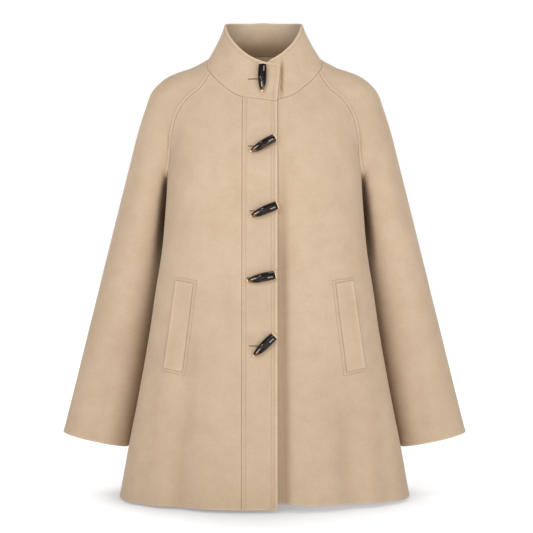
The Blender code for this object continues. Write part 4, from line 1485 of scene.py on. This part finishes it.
    def make(self, finish: Wool) -> bpy.types.Object:
        """Builds the shell and dresses it.

        Args:
            finish: the wool.

        Returns:
            The shell.
        """
        self.refine()
        self.shaped()
        rows, columns = self.outer.shape[:2]
        count = rows * columns
        index = np.arange(count).reshape(rows, columns)
        rim = np.concatenate([index[0], index[1:, -1], index[-1, -2::-1], index[-2:0:-1, 0]])
        ahead = np.roll(rim, -1)
        faces = np.vstack([quads_of(rows, columns), quads_of(rows, columns)[:, ::-1] + count,
                           np.stack([rim, rim + count, ahead + count, ahead], -1)])
        points = np.vstack([self.outer.reshape(-1, 3), self.inner.reshape(-1, 3)])
        across = np.concatenate([np.zeros((rows, 1)), np.cumsum(np.linalg.norm(
            np.diff(self.outer, axis=1), axis=-1), 1)], 1)
        across = across - across[:, columns // 2:columns // 2 + 1]
        up = np.concatenate([np.zeros((1, columns)), np.cumsum(np.linalg.norm(
            np.diff(self.outer, axis=0), axis=-1), 0)], 0)
        lay = np.stack([across, np.broadcast_to(up[:, columns // 2:columns // 2 + 1], up.shape),
                        0 * up], -1).reshape(-1, 3)
        facts = {"lay": np.vstack([lay, lay + [0, 0, 0.5]])}
        # the inner face carries 0.6 of the outer face's painted shade, rub with painted highlight
        # and painted gap shadow
        for key, value in (("painted_shade", self.painted_shade), ("ridge", self.ridge),
                           ("painted_gap_shade", self.gap_shade_share())):
            facts[key] = np.concatenate([value.ravel(), 0.6 * value.ravel()])
        level = self.level.ravel()
        # painted shade low on the inner face and painted light near its top
        facts["painted_shade"][count:] += self.low_shade * smooth_step((0.62 - level) / 0.5)
        facts["ridge"][count:] += self.rim_light * smooth_step((level - 0.5) / 0.5)
        name = self.name + "_cloth"
        made = mesh_object(name, points, faces, finish.make(name), facts)
        LOG.info("%s: %d x %d lines", name, rows, columns)
        return made


def linked(name: str, data: bpy.types.ID) -> bpy.types.Object:
    """Puts an object into the scene.

    Args:
        name: its name.
        data: its mesh, lamp or camera.

    Returns:
        The object.
    """
    made = bpy.data.objects.new(name, data)
    bpy.context.scene.collection.objects.link(made)
    return made


def mesh_from(name: str, drawn: bmesh.types.BMesh) -> bpy.types.Mesh:
    """Turns a drawn mesh, which is freed, into one that an object can carry.

    Args:
        name: its name.
        drawn: the drawn mesh.

    Returns:
        The mesh.
    """
    data = bpy.data.meshes.new(name)
    drawn.to_mesh(data)
    drawn.free()
    return data


def quads_of(rows: int, columns: int) -> Array:
    """The faces of a grid of points.

    Args:
        rows: how many rows of points.
        columns: how many columns.

    Returns:
        Rows of four corners.
    """
    index = np.arange(rows * columns).reshape(rows, columns)
    return np.stack([index[:-1, :-1], index[:-1, 1:], index[1:, 1:], index[1:, :-1]],
                    -1).reshape(-1, 4)


def mesh_object(name: str, points: Array, faces: Array, material: bpy.types.Material,
                facts: dict[str, Array] | None = None) -> bpy.types.Object:
    """Makes an object that rides on the coat.

    Args:
        name: the piece's name.
        points: its points.
        faces: its faces, as rows of point numbers.
        material: its finish.
        facts: numbers or vectors kept at each point for the finish.

    Returns:
        The object.
    """
    data = bpy.data.meshes.new(name)
    data.from_pydata(np.asarray(points).tolist(), [], [list(face) for face in faces])
    for key, value in (facts or {}).items():
        flat = np.asarray(value, np.float32)
        kind, slot = ("FLOAT_VECTOR", "vector") if flat.ndim == 2 else ("FLOAT", "value")
        data.attributes.new(key, kind, "POINT").data.foreach_set(slot, flat.ravel())
    data.shade_smooth()
    data.materials.append(material)
    data.update()
    made = linked(name, data)
    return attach(made, "root")


# ---- sewing
@dataclass
class Sewing:
    """Rows of lock stitches that lie in their grooves."""

    name: str
    pitch: float = 3.4 * MM
    length: float = 2.75 * MM
    radius: float = 0.36 * MM
    sides: int = 6
    runs: list[tuple[Array, Array]] = field(default_factory=list)

    def run(self, points: Array, normals: Array) -> None:
        """Adds a row of stitches along a line on the cloth."""
        self.runs.append((points, normals))

    def seats(self) -> Array:
        """The middle, way and outward direction of each stitch.

        Returns:
            The three rows of each stitch.
        """
        seats = []
        for points, normals in self.runs:
            along = lengths_along(points)
            count = int(along[-1] / self.pitch)
            at = (np.arange(count) + 0.5) * along[-1] / max(count, 1)
            both = np.concatenate([points, normals], 1)
            middle, ahead, behind = (np.stack([np.interp(at + off, along, both[:, k])
                                               for k in range(6)], 1)
                                     for off in (0, self.pitch / 3, -self.pitch / 3))
            seats.append(np.stack([middle[:, :3], unit(ahead[:, :3] - behind[:, :3]),
                                   unit(middle[:, 3:])], 1))
        return np.concatenate(seats)

    def make(self, finish: Thread) -> bpy.types.Object:
        """Builds all the stitches as one mesh.

        Args:
            finish: the thread.

        Returns:
            The stitches.
        """
        seats = self.seats()
        middle, way, out = seats[:, None, 0], seats[:, None, 1], seats[:, None, 2]
        side = unit(np.cross(out, way))
        profile = [(-0.5, 0.0, -0.55), (-0.42, 0.72, -0.1), (-0.18, 1.0, 0.32), (0.18, 1.0, 0.32),
                   (0.42, 0.72, -0.1), (0.5, 0.0, -0.55)]
        local = []
        for k, (along, size, lift) in enumerate(profile):
            for turn in np.arange(1 if size == 0 else self.sides) * 2 * math.pi / self.sides:
                local.append((along * self.length, size * self.radius * math.cos(turn),
                              size * self.radius * math.sin(turn) + lift * self.radius * 1.4))
        local = np.array(local)
        points = (middle + way * local[None, :, 0:1] + side * local[None, :, 1:2]
                  + out * local[None, :, 2:3])
        n, last = self.sides, len(local) - 1
        faces = [(0, 1 + (k + 1) % n, 1 + k) for k in range(n)]
        for ring in range(3):
            low, high = 1 + ring * n, 1 + (ring + 1) * n
            faces += [(low + k, low + (k + 1) % n, high + (k + 1) % n, high + k)
                      for k in range(n)]
        faces += [(last, last - n + k, last - n + (k + 1) % n) for k in range(n)]
        every = [tuple(corner + seat * len(local) for corner in face)
                 for seat in range(len(seats)) for face in faces]
        LOG.info("%s: %d stitches", self.name, len(seats))
        return mesh_object(self.name, points.reshape(-1, 3), every, finish.make(self.name))


# ---- the coat's pieces
def declare(obj: bpy.types.Object, node: str, flat_mm: Row) -> None:
    """Hides the solid that a piece of cloth stands for.

    Args:
        obj: the piece; not used.
        node: the solid that it replaces.
        flat_mm: width and length of the cut.
    """
    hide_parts(node)
    flat_mm[0] * MM
    flat_mm[1] * MM


@dataclass
class Sewn:
    """What the coat's sub-assemblies share: the cut, its directions, the wool and the thread."""

    grids: dict[str, Array]
    normals: dict[str, Array]
    wool: Wool = Wool()
    thread: Thread = Thread()

    def piece(self, name: str, zones: tuple[Zone, ...], *edges: Edge, **sizes: float) -> Cloth:
        """The cloth of that name, with its edges and sizes of its own."""
        return Cloth(name, self.grids[name], self.normals[name], zones, *edges, **sizes)


@dataclass
class Body(Sewn):
    """The fronts, the button band and the back."""

    band_seam_sewing_mm: Row = (3.2, 6.8)
    band_edge_sewing_mm: Row = (5.6, 10.4)
    # piece: width and length of the cut in mm, its area in square metres
    cuts: dict[str, tuple] = field(default_factory=lambda: {
        "front_right": ((345, 770), 0.186), "front_band": ((62, 720), 0.044),
        "front_left": ((410, 770), 0.233), "back": ((640, 800), 0.368)})

    def cloth(self, name: str) -> Cloth:
        """The piece of that name with its edges.

        Args:
            name: the solid's name.

        Returns:
            The piece.
        """
        seam, turned = Edge(), Edge(EdgeKind.TURNED)
        edges = {
            "front_right": (seam, seam, turned, seam),
            "front_band": (Edge(EdgeKind.LAP, self.band_seam_sewing_mm, allowance_mm=12),
                           Edge(EdgeKind.TURNED, self.band_edge_sewing_mm, allowance_mm=14),
                           turned, seam),
            "front_left": (turned, seam, turned, seam),
            "back": (seam, seam, turned, seam),
        }[name]
        zones = {"back": (Zone.BACK,), "front_left": (Zone.FRONT, Zone.UNDER_BAND)}.get(
            name, (Zone.FRONT,))
        return self.piece(name, zones, *edges)

    def make(self) -> dict[str, Cloth]:
        """Builds the four pieces and the band's sewing.

        Returns:
            The pieces by name.
        """
        made = {}
        for name, (flat, area) in self.cuts.items():
            made[name] = self.cloth(name)
            declare(made[name].make(self.wool), name, flat)
        sewing = Sewing("sewing_band")
        for side, rows in (("l", self.band_seam_sewing_mm), ("r", self.band_edge_sewing_mm)):
            for offset in rows:
                points, facing, _ = made["front_band"].line(side, offset)
                sewing.run(points[2:-2], facing[2:-2])
        sewing.make(self.thread)
        return made


@dataclass
class Sleeves(Sewn):
    """Both raglan sleeves, each in a front and a back half."""

    raglan_sewing_mm: float = 6.6
    flat_mm: Row = (215, 690)
    area: float = 0.114

    def make(self) -> None:
        """Builds the four halves and the sewing beside the raglan seams."""
        seam, turned = Edge(), Edge(EdgeKind.TURNED)
        raglan = Edge(EdgeKind.LAP, (self.raglan_sewing_mm,), until=9 / 23, allowance_mm=8)
        for side in ("left", "right"):
            sewing = Sewing(f"sewing_raglan_{side}")
            for half in ("front", "back"):
                name = f"sleeve_{side}_{half}"
                last = (side == "left") == (half == "front")
                edges = (seam, raglan) if last else (raglan, seam)
                zone = Zone.SLEEVE_FRONT if half == "front" else Zone.SLEEVE_BACK
                cloth = self.piece(name, (zone,), *edges, seam, turned)
                declare(cloth.make(self.wool), name, self.flat_mm)
                points, facing, level = cloth.line("r" if last else "l", self.raglan_sewing_mm)
                keep = level < 9 / 23 - 0.01
                sewing.run(points[keep][2:], facing[keep][2:])
            sewing.make(self.thread)


@dataclass
class Collar(Sewn):
    """The stand collar with its rounded free end and its row of edge sewing."""

    sewing_mm: float = 6.2
    end_sewing_mm: float = 8.0
    corner: float = 8 * MM
    flat_mm: Row = (520, 125)
    area: float = 0.047

    def make(self) -> Cloth:
        """Builds the collar and its sewing.

        Returns:
            The collar's cloth.
        """
        end = Edge(EdgeKind.TURNED, (self.end_sewing_mm,), allowance_mm=11)
        edge = Edge(EdgeKind.TURNED, (self.sewing_mm,), allowance_mm=9)
        # painted shade low inside the collar and painted light near its rim
        cloth = self.piece("collar", (Zone.COLLAR,), Edge(EdgeKind.TURNED), end, Edge(), edge,
                           spacing=4.5 * MM, corner=self.corner, low_shade=0.75, rim_light=1.2)
        declare(cloth.make(self.wool), "collar", self.flat_mm)
        sewing = Sewing("sewing_collar")
        points, facing, _ = cloth.line("t", self.sewing_mm)
        from_end = cloth.distances[1][-1 - edge.line_at(self.sewing_mm)]
        keep = from_end > self.end_sewing_mm * MM - 0.1 * MM
        sewing.run(points[keep], facing[keep])
        points, facing, _ = cloth.line("r", self.end_sewing_mm)
        from_edge = cloth.distances[3][:, -1 - end.line_at(self.end_sewing_mm)]
        keep = from_edge > self.sewing_mm * MM - 0.1 * MM
        sewing.run(points[keep][2:], facing[keep][2:])
        sewing.make(self.thread)
        return cloth


def seen_from_front(tree: BVHTree, x: float, z: float) -> tuple[Array, Array]:
    """The point of a piece that is seen at x and z, and its outward direction."""
    point, normal, _, _ = tree.ray_cast(Vector((x, -1.0, z)), Vector((0.0, 1.0, 0.0)))
    return np.array(point), np.array(normal if normal.y < 0 else -normal)


@dataclass
class Welt:
    """A slanted pocket's welt, sewn on three sides and open along its outer edge."""

    side: int
    tree: BVHTree
    inner_top_mm: Row = (120, -400)
    outer_top_mm: Row = (151, -395)
    inner_foot_mm: Row = (139, -551)
    outer_foot_mm: Row = (172, -545)
    raise_by: float = 1.9 * MM
    sewing: float = 5.0 * MM
    flat_mm: Row = (36, 155)
    area: float = 0.0052
    rows: int = 48
    columns: int = 14
    wool: Wool = Wool()
    thread: Thread = Thread(colour(176, 148, 116), colour(128, 102, 74))

    @property
    def name(self) -> str:
        """The solid's name."""
        return "welt_left" if self.side > 0 else "welt_right"

    def at(self, u: float, v: float) -> tuple[Array, Array]:
        """The front's point and direction at a place across and up the welt.

        Args:
            u: the share of its width.
            v: the share of its length.

        Returns:
            The point and the direction.
        """
        corners = np.array([self.inner_foot_mm, self.outer_foot_mm, self.inner_top_mm,
                            self.outer_top_mm], float) * MM
        x, z = ((1 - u) * (1 - v) * corners[0] + u * (1 - v) * corners[1]
                + (1 - u) * v * corners[2] + u * v * corners[3])
        return seen_from_front(self.tree, self.side * x, z)

    def make(self) -> None:
        """Builds the welt and the sewing round it."""
        grid = np.zeros((self.rows + 1, self.columns + 1, 3))
        out = np.zeros_like(grid)
        for r, v in enumerate(np.linspace(0, 1, self.rows + 1)):
            for c, u in enumerate(np.linspace(0, 1, self.columns + 1)):
                grid[r, c], out[r, c] = self.at(u, v)
        out = unit(out + np.roll(out, 1, 0) + np.roll(out, -1, 0))
        if self.side < 0:
            grid, out = grid[:, ::-1], out[:, ::-1]
        # the open outer edge carries a strong painted shadow, the sewn edges a lighter painted
        # shade
        sewn = Edge(EdgeKind.SEAM, depth=0.8)
        opened = Edge(EdgeKind.LAP, allowance_mm=6, depth=2.8)
        sides = (sewn, opened) if self.side > 0 else (opened, sewn)
        cloth = Cloth(self.name, grid + out * self.raise_by, out, (), *sides, sewn, sewn,
                      wall=1.6 * MM, spacing=4 * MM, folds=())
        declare(cloth.make(self.wool), self.name, self.flat_mm)
        width, length = 31 * MM, 151 * MM
        du, dv = self.sewing / width, self.sewing / length
        ring = [(1.0, 1 + dv), (-du, 1 + dv), (-du, -dv), (1.0, -dv)]
        sewing = Sewing(f"sewing_{self.name}", radius=0.42 * MM)
        for (u0, v0), (u1, v1) in zip(ring, ring[1:]):
            steps = np.linspace(0, 1, 60)
            found = [self.at(u0 + (u1 - u0) * t, v0 + (v1 - v0) * t) for t in steps]
            points, facing = (np.array([pair[k] for pair in found]) for k in (0, 1))
            sewing.run(points, facing)
        sewing.make(self.thread)


@dataclass
class Toggle:
    """A horn toggle with two holes, its thread and the buttonhole that it closes."""

    number: int
    height_mm: float
    x_mm: float
    turn: float
    tree: BVHTree
    length: float = 51 * MM
    radius: float = 7.6 * MM
    flatness: float = 0.82
    hole_radius: float = 1.5 * MM
    hole_spacing: float = 13 * MM
    laid_gap: float = 0.6 * MM
    thread_radius: float = 0.36 * MM
    thread_depth: float = 7.2 * MM
    slit_length: float = 24 * MM
    lip_radius: float = 0.4 * MM
    tack_radius: float = 0.45 * MM
    steps: int = 40
    profile: Rows = ((0.0, 0.86), (0.10, 0.93), (0.30, 1.0), (0.52, 0.98), (0.70, 0.84),
                     (0.84, 0.60), (0.94, 0.33), (1.0, 0.0))
    # painted highlights: start and stop along it, place and width across it
    glint_highlights: Rows = ((0.10, 0.30, 0.36, 0.10), (0.66, 0.84, -0.05, 0.11), (0.48, 0.56, -0.40, 0.09))
    horn: Horn = Horn()
    thread: Thread = Thread(colour(46, 32, 24), colour(18, 12, 9))
    hole_thread: Thread = Thread(colour(112, 80, 54), colour(58, 40, 28))

    def skin(self) -> bmesh.types.BMesh:
        """The toggle's skin about its own middle, with its hollow cut end.

        Returns:
            The skin, not yet drilled.
        """
        mesh = bmesh.new()
        share = np.linspace(0, 1, 41)
        size = smooth_table(self.profile, share)[:, 0]
        size[share > 0.94] = 0.33 * np.sqrt(np.clip((1 - share[share > 0.94]) / 0.06, 0, 1))
        line = [(-self.length / 2 + 1.6 * MM, 0.0), (-self.length / 2 + 1.3 * MM, 0.42),
                (-self.length / 2 + 0.5 * MM, 0.66), (-self.length / 2 + 0.05 * MM, 0.78)]
        line += [(self.length * (s - 0.5) + 0.35 * MM * (s == 0), r) for s, r in zip(share, size)]
        verts = [mesh.verts.new((x, 0.0, self.radius * max(r, 0.0))) for x, r in line]
        edges = [mesh.edges.new(pair) for pair in zip(verts, verts[1:])]
        bmesh.ops.spin(mesh, geom=verts + edges, axis=(1, 0, 0), cent=(0, 0, 0),
                       angle=2 * math.pi, steps=self.steps, use_merge=True)
        bmesh.ops.remove_doubles(mesh, verts=mesh.verts, dist=0.02 * MM)
        bmesh.ops.scale(mesh, verts=mesh.verts, vec=(1, 1, self.flatness))
        bmesh.ops.recalc_face_normals(mesh, faces=mesh.faces)
        return mesh

    def drilled(self, made: bpy.types.Object) -> None:
        """Cuts the two holes and keeps the result as the toggle's own mesh.

        Args:
            made: the toggle.
        """
        cutters = []
        for along in (-0.5, 0.5):
            drill = bmesh.new()
            bmesh.ops.create_cone(drill, cap_ends=True, segments=20, radius1=self.hole_radius,
                                  radius2=self.hole_radius, depth=4 * self.radius,
                                  matrix=Matrix.Translation((along * self.hole_spacing, 0, 0)))
            cutter = linked("drill", mesh_from("drill", drill))
            cutters.append(cutter)
            cut = made.modifiers.new("hole", "BOOLEAN")
            cut.operation, cut.solver, cut.object = "DIFFERENCE", "EXACT", cutter
        graph = bpy.context.evaluated_depsgraph_get()
        data = bpy.data.meshes.new_from_object(made.evaluated_get(graph))
        made.modifiers.clear()
        made.data = data
        for cutter in cutters:
            bpy.data.objects.remove(cutter, do_unlink=True)

    def marked(self, data: bpy.types.Mesh) -> None:
        """Keeps how thin and how pale the horn is at each point, and where its painted highlights
        lie.

        Args:
            data: the toggle's mesh.
        """
        p = np.array([v.co for v in data.vertices])
        share = p[:, 0] / self.length + 0.5
        flank = np.abs(p[:, 1]) / self.radius
        thin = 0.55 * smooth_step((share - 0.62) / 0.3) + 0.45 * smooth_step((flank - 0.7) / 0.3)
        thin = thin * np.where(p[:, 1] > 0, 1.25, 0.35)
        thin = thin + 0.7 * smooth_step((0.1 - share) / 0.1)
        pale = smooth_step((share - 0.9) / 0.09) + smooth_step((0.055 - share) / 0.045)
        # the hole rims' upper side gets a painted highlight, paler and more amber
        from_hole = np.hypot(np.abs(p[:, 0]) - self.hole_spacing / 2, p[:, 1]) / self.hole_radius
        rim = bell((from_hole - 1.15) / 0.3) * (p[:, 2] > 0.5 * self.radius)
        thin, pale = thin + 0.5 * rim, pale + 0.4 * rim
        # painted highlights along the upper side
        glint_highlight = np.zeros(len(p))
        for start, stop, across, width in self.glint_highlights:
            run = (smooth_step((share - start) / 0.03 + 0.5)
                   * smooth_step((stop - share) / 0.03 + 0.5))
            glint_highlight += run * bell((p[:, 1] / self.radius - across) / width) * (p[:, 2] > 0)
        for key, value in (("thin", thin), ("pale", np.clip(pale, 0, 1)), ("glint_highlight", glint_highlight)):
            data.attributes.new(key, "FLOAT", "POINT").data.foreach_set(
                "value", value.astype(np.float32))

    def placed(self, points: Array) -> Matrix:
        """The place at which the toggle lies on the cloth.

        Args:
            points: the toggle's own points.

        Returns:
            The toggle's matrix.
        """
        middle, normal = seen_from_front(self.tree, self.x_mm * MM, self.height_mm * MM)
        heading = math.radians(self.turn)
        along = np.array([math.cos(heading), 0.0, math.sin(heading)])
        along = unit(along - normal * (along @ normal))
        basis = np.column_stack([along, np.cross(normal, along), normal])
        clear = []
        for point in points @ basis.T + middle:
            hit = self.tree.ray_cast(Vector(point + normal * 0.05), Vector(-normal))
            if hit[0] is not None:
                clear.append(hit[3] - 0.05)
        place = Matrix(basis.tolist()).to_4x4()
        place.translation = Vector(middle + normal * (self.laid_gap - min(clear)))
        return place

    def make(self) -> None:
        """Builds the toggle, its thread and its buttonhole."""
        name = f"toggle_{self.number}"
        made = linked(name + "_horn", mesh_from(name + "_horn", self.skin()))
        self.drilled(made)
        data = made.data
        data.materials.clear()
        data.materials.append(self.horn.make(name + "_horn"))
        self.marked(data)
        data.shade_smooth()
        data.set_sharp_from_angle(angle=math.radians(38))
        points = np.array([v.co for v in data.vertices])
        made.matrix_world = self.placed(points)
        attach(made, "root")
        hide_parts(name)
        self.sewn_on(made.matrix_world.copy())
        self.buttonhole()
        LOG.info("%s: horn, thread and buttonhole", name)

    def sewn_on(self, place: Matrix) -> None:
        """The thread that passes through both holes.

        Args:
            place: the toggle's matrix.
        """
        half, top, low = self.hole_spacing / 2, self.radius * self.flatness, self.thread_depth
        strands = []
        for off in (-0.5, 0.5):
            y = off * 0.8 * MM
            rise = [(-half, -low), (-half, top - 2.2 * MM), (-half + 0.6 * MM, top - 0.6 * MM),
                    (-half + 1.8 * MM, top + 0.15 * MM)]
            line = [*[(x, y, z) for x, z in rise], (0, y * 1.5, top + 0.35 * MM),
                    *[(-x, y, z) for x, z in rise[::-1]]]
            strands.append(tube_of(curve_through(line, 40), self.thread_radius))
        points, faces = joined(strands)
        world = np.array(place)
        points = points @ world[:3, :3].T + world[:3, 3]
        mesh_object(f"toggle_thread_{self.number}", points, faces,
                            self.thread.make(f"toggle_thread_{self.number}"))

    def buttonhole(self) -> None:
        """Two bound lips with a bar tack at the outer end, on the cloth beside the toggle."""
        start, stop = self.x_mm * MM - self.slit_length, self.x_mm * MM + 1 * MM
        parts = []
        for lip in (-1, 1):
            share = np.linspace(0, 1, 34)
            line = []
            for t in share:
                spread = 0.36 * MM + 0.3 * MM * math.sin(math.pi * t)
                point, normal = seen_from_front(self.tree, start + (stop - start) * t,
                                                self.height_mm * MM + lip * spread)
                line.append(point + normal * 0.15 * MM)
            parts.append(tube_of(np.array(line), self.lip_radius))
        line = []
        for t in np.linspace(-1, 1, 8):
            point, normal = seen_from_front(self.tree, start, self.height_mm * MM + t * 1.1 * MM)
            line.append(point + normal * 0.3 * MM)
        parts.append(tube_of(np.array(line), self.tack_radius))
        points, faces = joined(parts)
        name = f"buttonhole_{self.number}"
        mesh_object(name, points, faces, self.hole_thread.make(name))


def tube_of(line: Array, radius: float, sides: int = 8) -> tuple[Array, list]:
    """A round tube with pointed ends along a line.

    Args:
        line: its centre line.
        radius: its radius.
        sides: how many sides it has.

    Returns:
        Points and faces.
    """
    tangent = unit(np.gradient(line, axis=0))
    side = unit(np.cross(tangent, np.array([0.13, 0.41, 0.9])))
    other = np.cross(tangent, side)
    turn = np.arange(sides) * 2 * math.pi / sides
    size = radius * np.minimum(1, np.minimum(np.arange(len(line)) + 0.35,
                                             len(line) - 0.65 - np.arange(len(line))) / 1.2)
    ring = (line[:, None] + (side[:, None] * np.cos(turn)[None, :, None]
                             + other[:, None] * np.sin(turn)[None, :, None])
            * size[:, None, None])
    faces = []
    for r in range(len(line) - 1):
        for k in range(sides):
            a, b = r * sides + k, r * sides + (k + 1) % sides
            faces.append((a, b, b + sides, a + sides))
    faces.append(tuple(range(sides))[::-1])
    faces.append(tuple((len(line) - 1) * sides + k for k in range(sides)))
    return ring.reshape(-1, 3), faces


def joined(parts: list[tuple[Array, list]]) -> tuple[Array, list]:
    """Several meshes as one.

    Args:
        parts: each mesh's points and faces.

    Returns:
        Points and faces.
    """
    points, faces, base = [], [], 0
    for part, rows in parts:
        points.append(part)
        faces += [tuple(corner + base for corner in row) for row in rows]
        base += len(part)
    return np.vstack(points), faces


# ---- the studio
@dataclass
class Studio:
    """The pale floor, the soft even light and the camera before the coat."""

    floor_z: float = -0.7825
    distance: float = 2.3
    pixel: float = 1.8 * MM
    middle_px: float = 264.5
    level_px: float = 60.0
    size_px: int = 533
    surround: float = 0.35
    aim: Row = (0.0, 0.0, -0.35)
    # name, place, size, power in watts
    lamps: tuple[tuple, ...] = (
        ("key", (-1.3, -2.7, 0.7), (1.6, 1.6), 34.5),
        ("fill", (1.5, -2.6, 0.0), (1.6, 1.6), 30.0),
        ("top", (0.0, -0.6, 2.2), (0.8, 0.6), 13.0),
        ("streak_high", (-0.4, -2.0, 0.8), (0.12, 0.5), 2.4),
        ("streak_low", (0.5, -1.9, -1.0), (0.4, 0.1), 2.0),
        ("rear_left", (1.6, 2.6, 0.8), (1.6, 1.6), 26.0),
        ("rear_right", (-1.6, 2.6, 0.6), (1.6, 1.6), 26.0))

    def make(self) -> None:
        """Builds the floor, the world, the lamps and the camera."""
        self.floor()
        self.world()
        for name, place, size, power in self.lamps:
            light = bpy.data.lights.new(name, "AREA")
            light.shape, light.size, light.size_y, light.energy = "RECTANGLE", *size, power
            lamp = linked(name, light)
            lamp.location = place
            aim = Vector(self.aim) - Vector(place)
            lamp.rotation_euler = aim.to_track_quat("-Z", "Y").to_euler()
        self.camera()

    def floor(self) -> None:
        """A broad flat sheet of paper just below the hem."""
        mesh = bmesh.new()
        bmesh.ops.create_grid(mesh, x_segments=8, y_segments=8, size=30.0)
        made = linked("floor", mesh_from("floor", mesh))
        made.data.materials.append(Paper().make("floor"))
        made.location = (0.0, 0.0, self.floor_z)

    def world(self) -> None:
        """A white surround that lights the coat less than it shows."""
        world = bpy.data.worlds.new("surround")
        world.use_nodes = True
        graph = Graph(world.node_tree)
        seen = graph.add("ShaderNodeLightPath", {}, {}, "Is Camera Ray")
        glow = graph.add("ShaderNodeBackground", {}, {
            "Color": (1.0, 1.0, 1.0, 1.0),
            "Strength": seen * (1.0 - self.surround) + self.surround})
        graph.add("ShaderNodeOutputWorld", {}, {"Surface": glow})
        bpy.context.scene.world = world
        bpy.context.scene.view_settings.view_transform = "Standard"

    def camera(self) -> None:
        """The camera, level before the coat, with the frame shifted a little to one side."""
        data = bpy.data.cameras.new("camera")
        data.sensor_width = 36.0
        data.lens = 36.0 * self.distance / (self.size_px * self.pixel)
        data.shift_x = (self.size_px / 2 - self.middle_px) / self.size_px
        data.clip_end = 200.0
        made = linked("camera", data)
        made.location = (0.0, -self.distance, (self.level_px - self.size_px / 2) * self.pixel)
        made.rotation_euler = (math.pi / 2, 0.0, 0.0)
        bpy.context.scene.camera = made


# name number, height and x of the middle in mm, the way from cut end to tip in degrees
TOGGLES: Rows = ((1, -47, -4.0, -91), (2, -167, -3.4, -147), (3, -278, -1.0, -157),
                 (4, -391, -5.5, -168), (5, -505, -1.0, -136))


def corners(bounds: tuple[Vector, Vector]) -> list[list[float]]:
    """A box as plain lists."""
    return [list(corner) for corner in bounds]


def main() -> None:
    """Builds the coat and the studio."""
    logging.basicConfig(level=logging.INFO, format="%(name)s: %(message)s")
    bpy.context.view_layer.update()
    pattern = Pattern(Form())
    grids = pattern.grids()
    normals = pattern.shared_normals(grids)
    LOG.info("cut: %d pieces", len(grids))
    body = Body(grids, normals).make()
    Sleeves(grids, normals).make()
    collar = Collar(grids, normals).make()
    for side, name in ((-1, "front_right"), (1, "front_left")):
        Welt(side, body[name].tree()).make()
    band_tree, collar_tree = body["front_band"].tree(), collar.tree()
    for number, height, x, turn in TOGGLES:
        Toggle(number, height, x, turn, collar_tree if number == 1 else band_tree).make()
    Studio().make()
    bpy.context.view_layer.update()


if __name__ == "__main__":
    main()
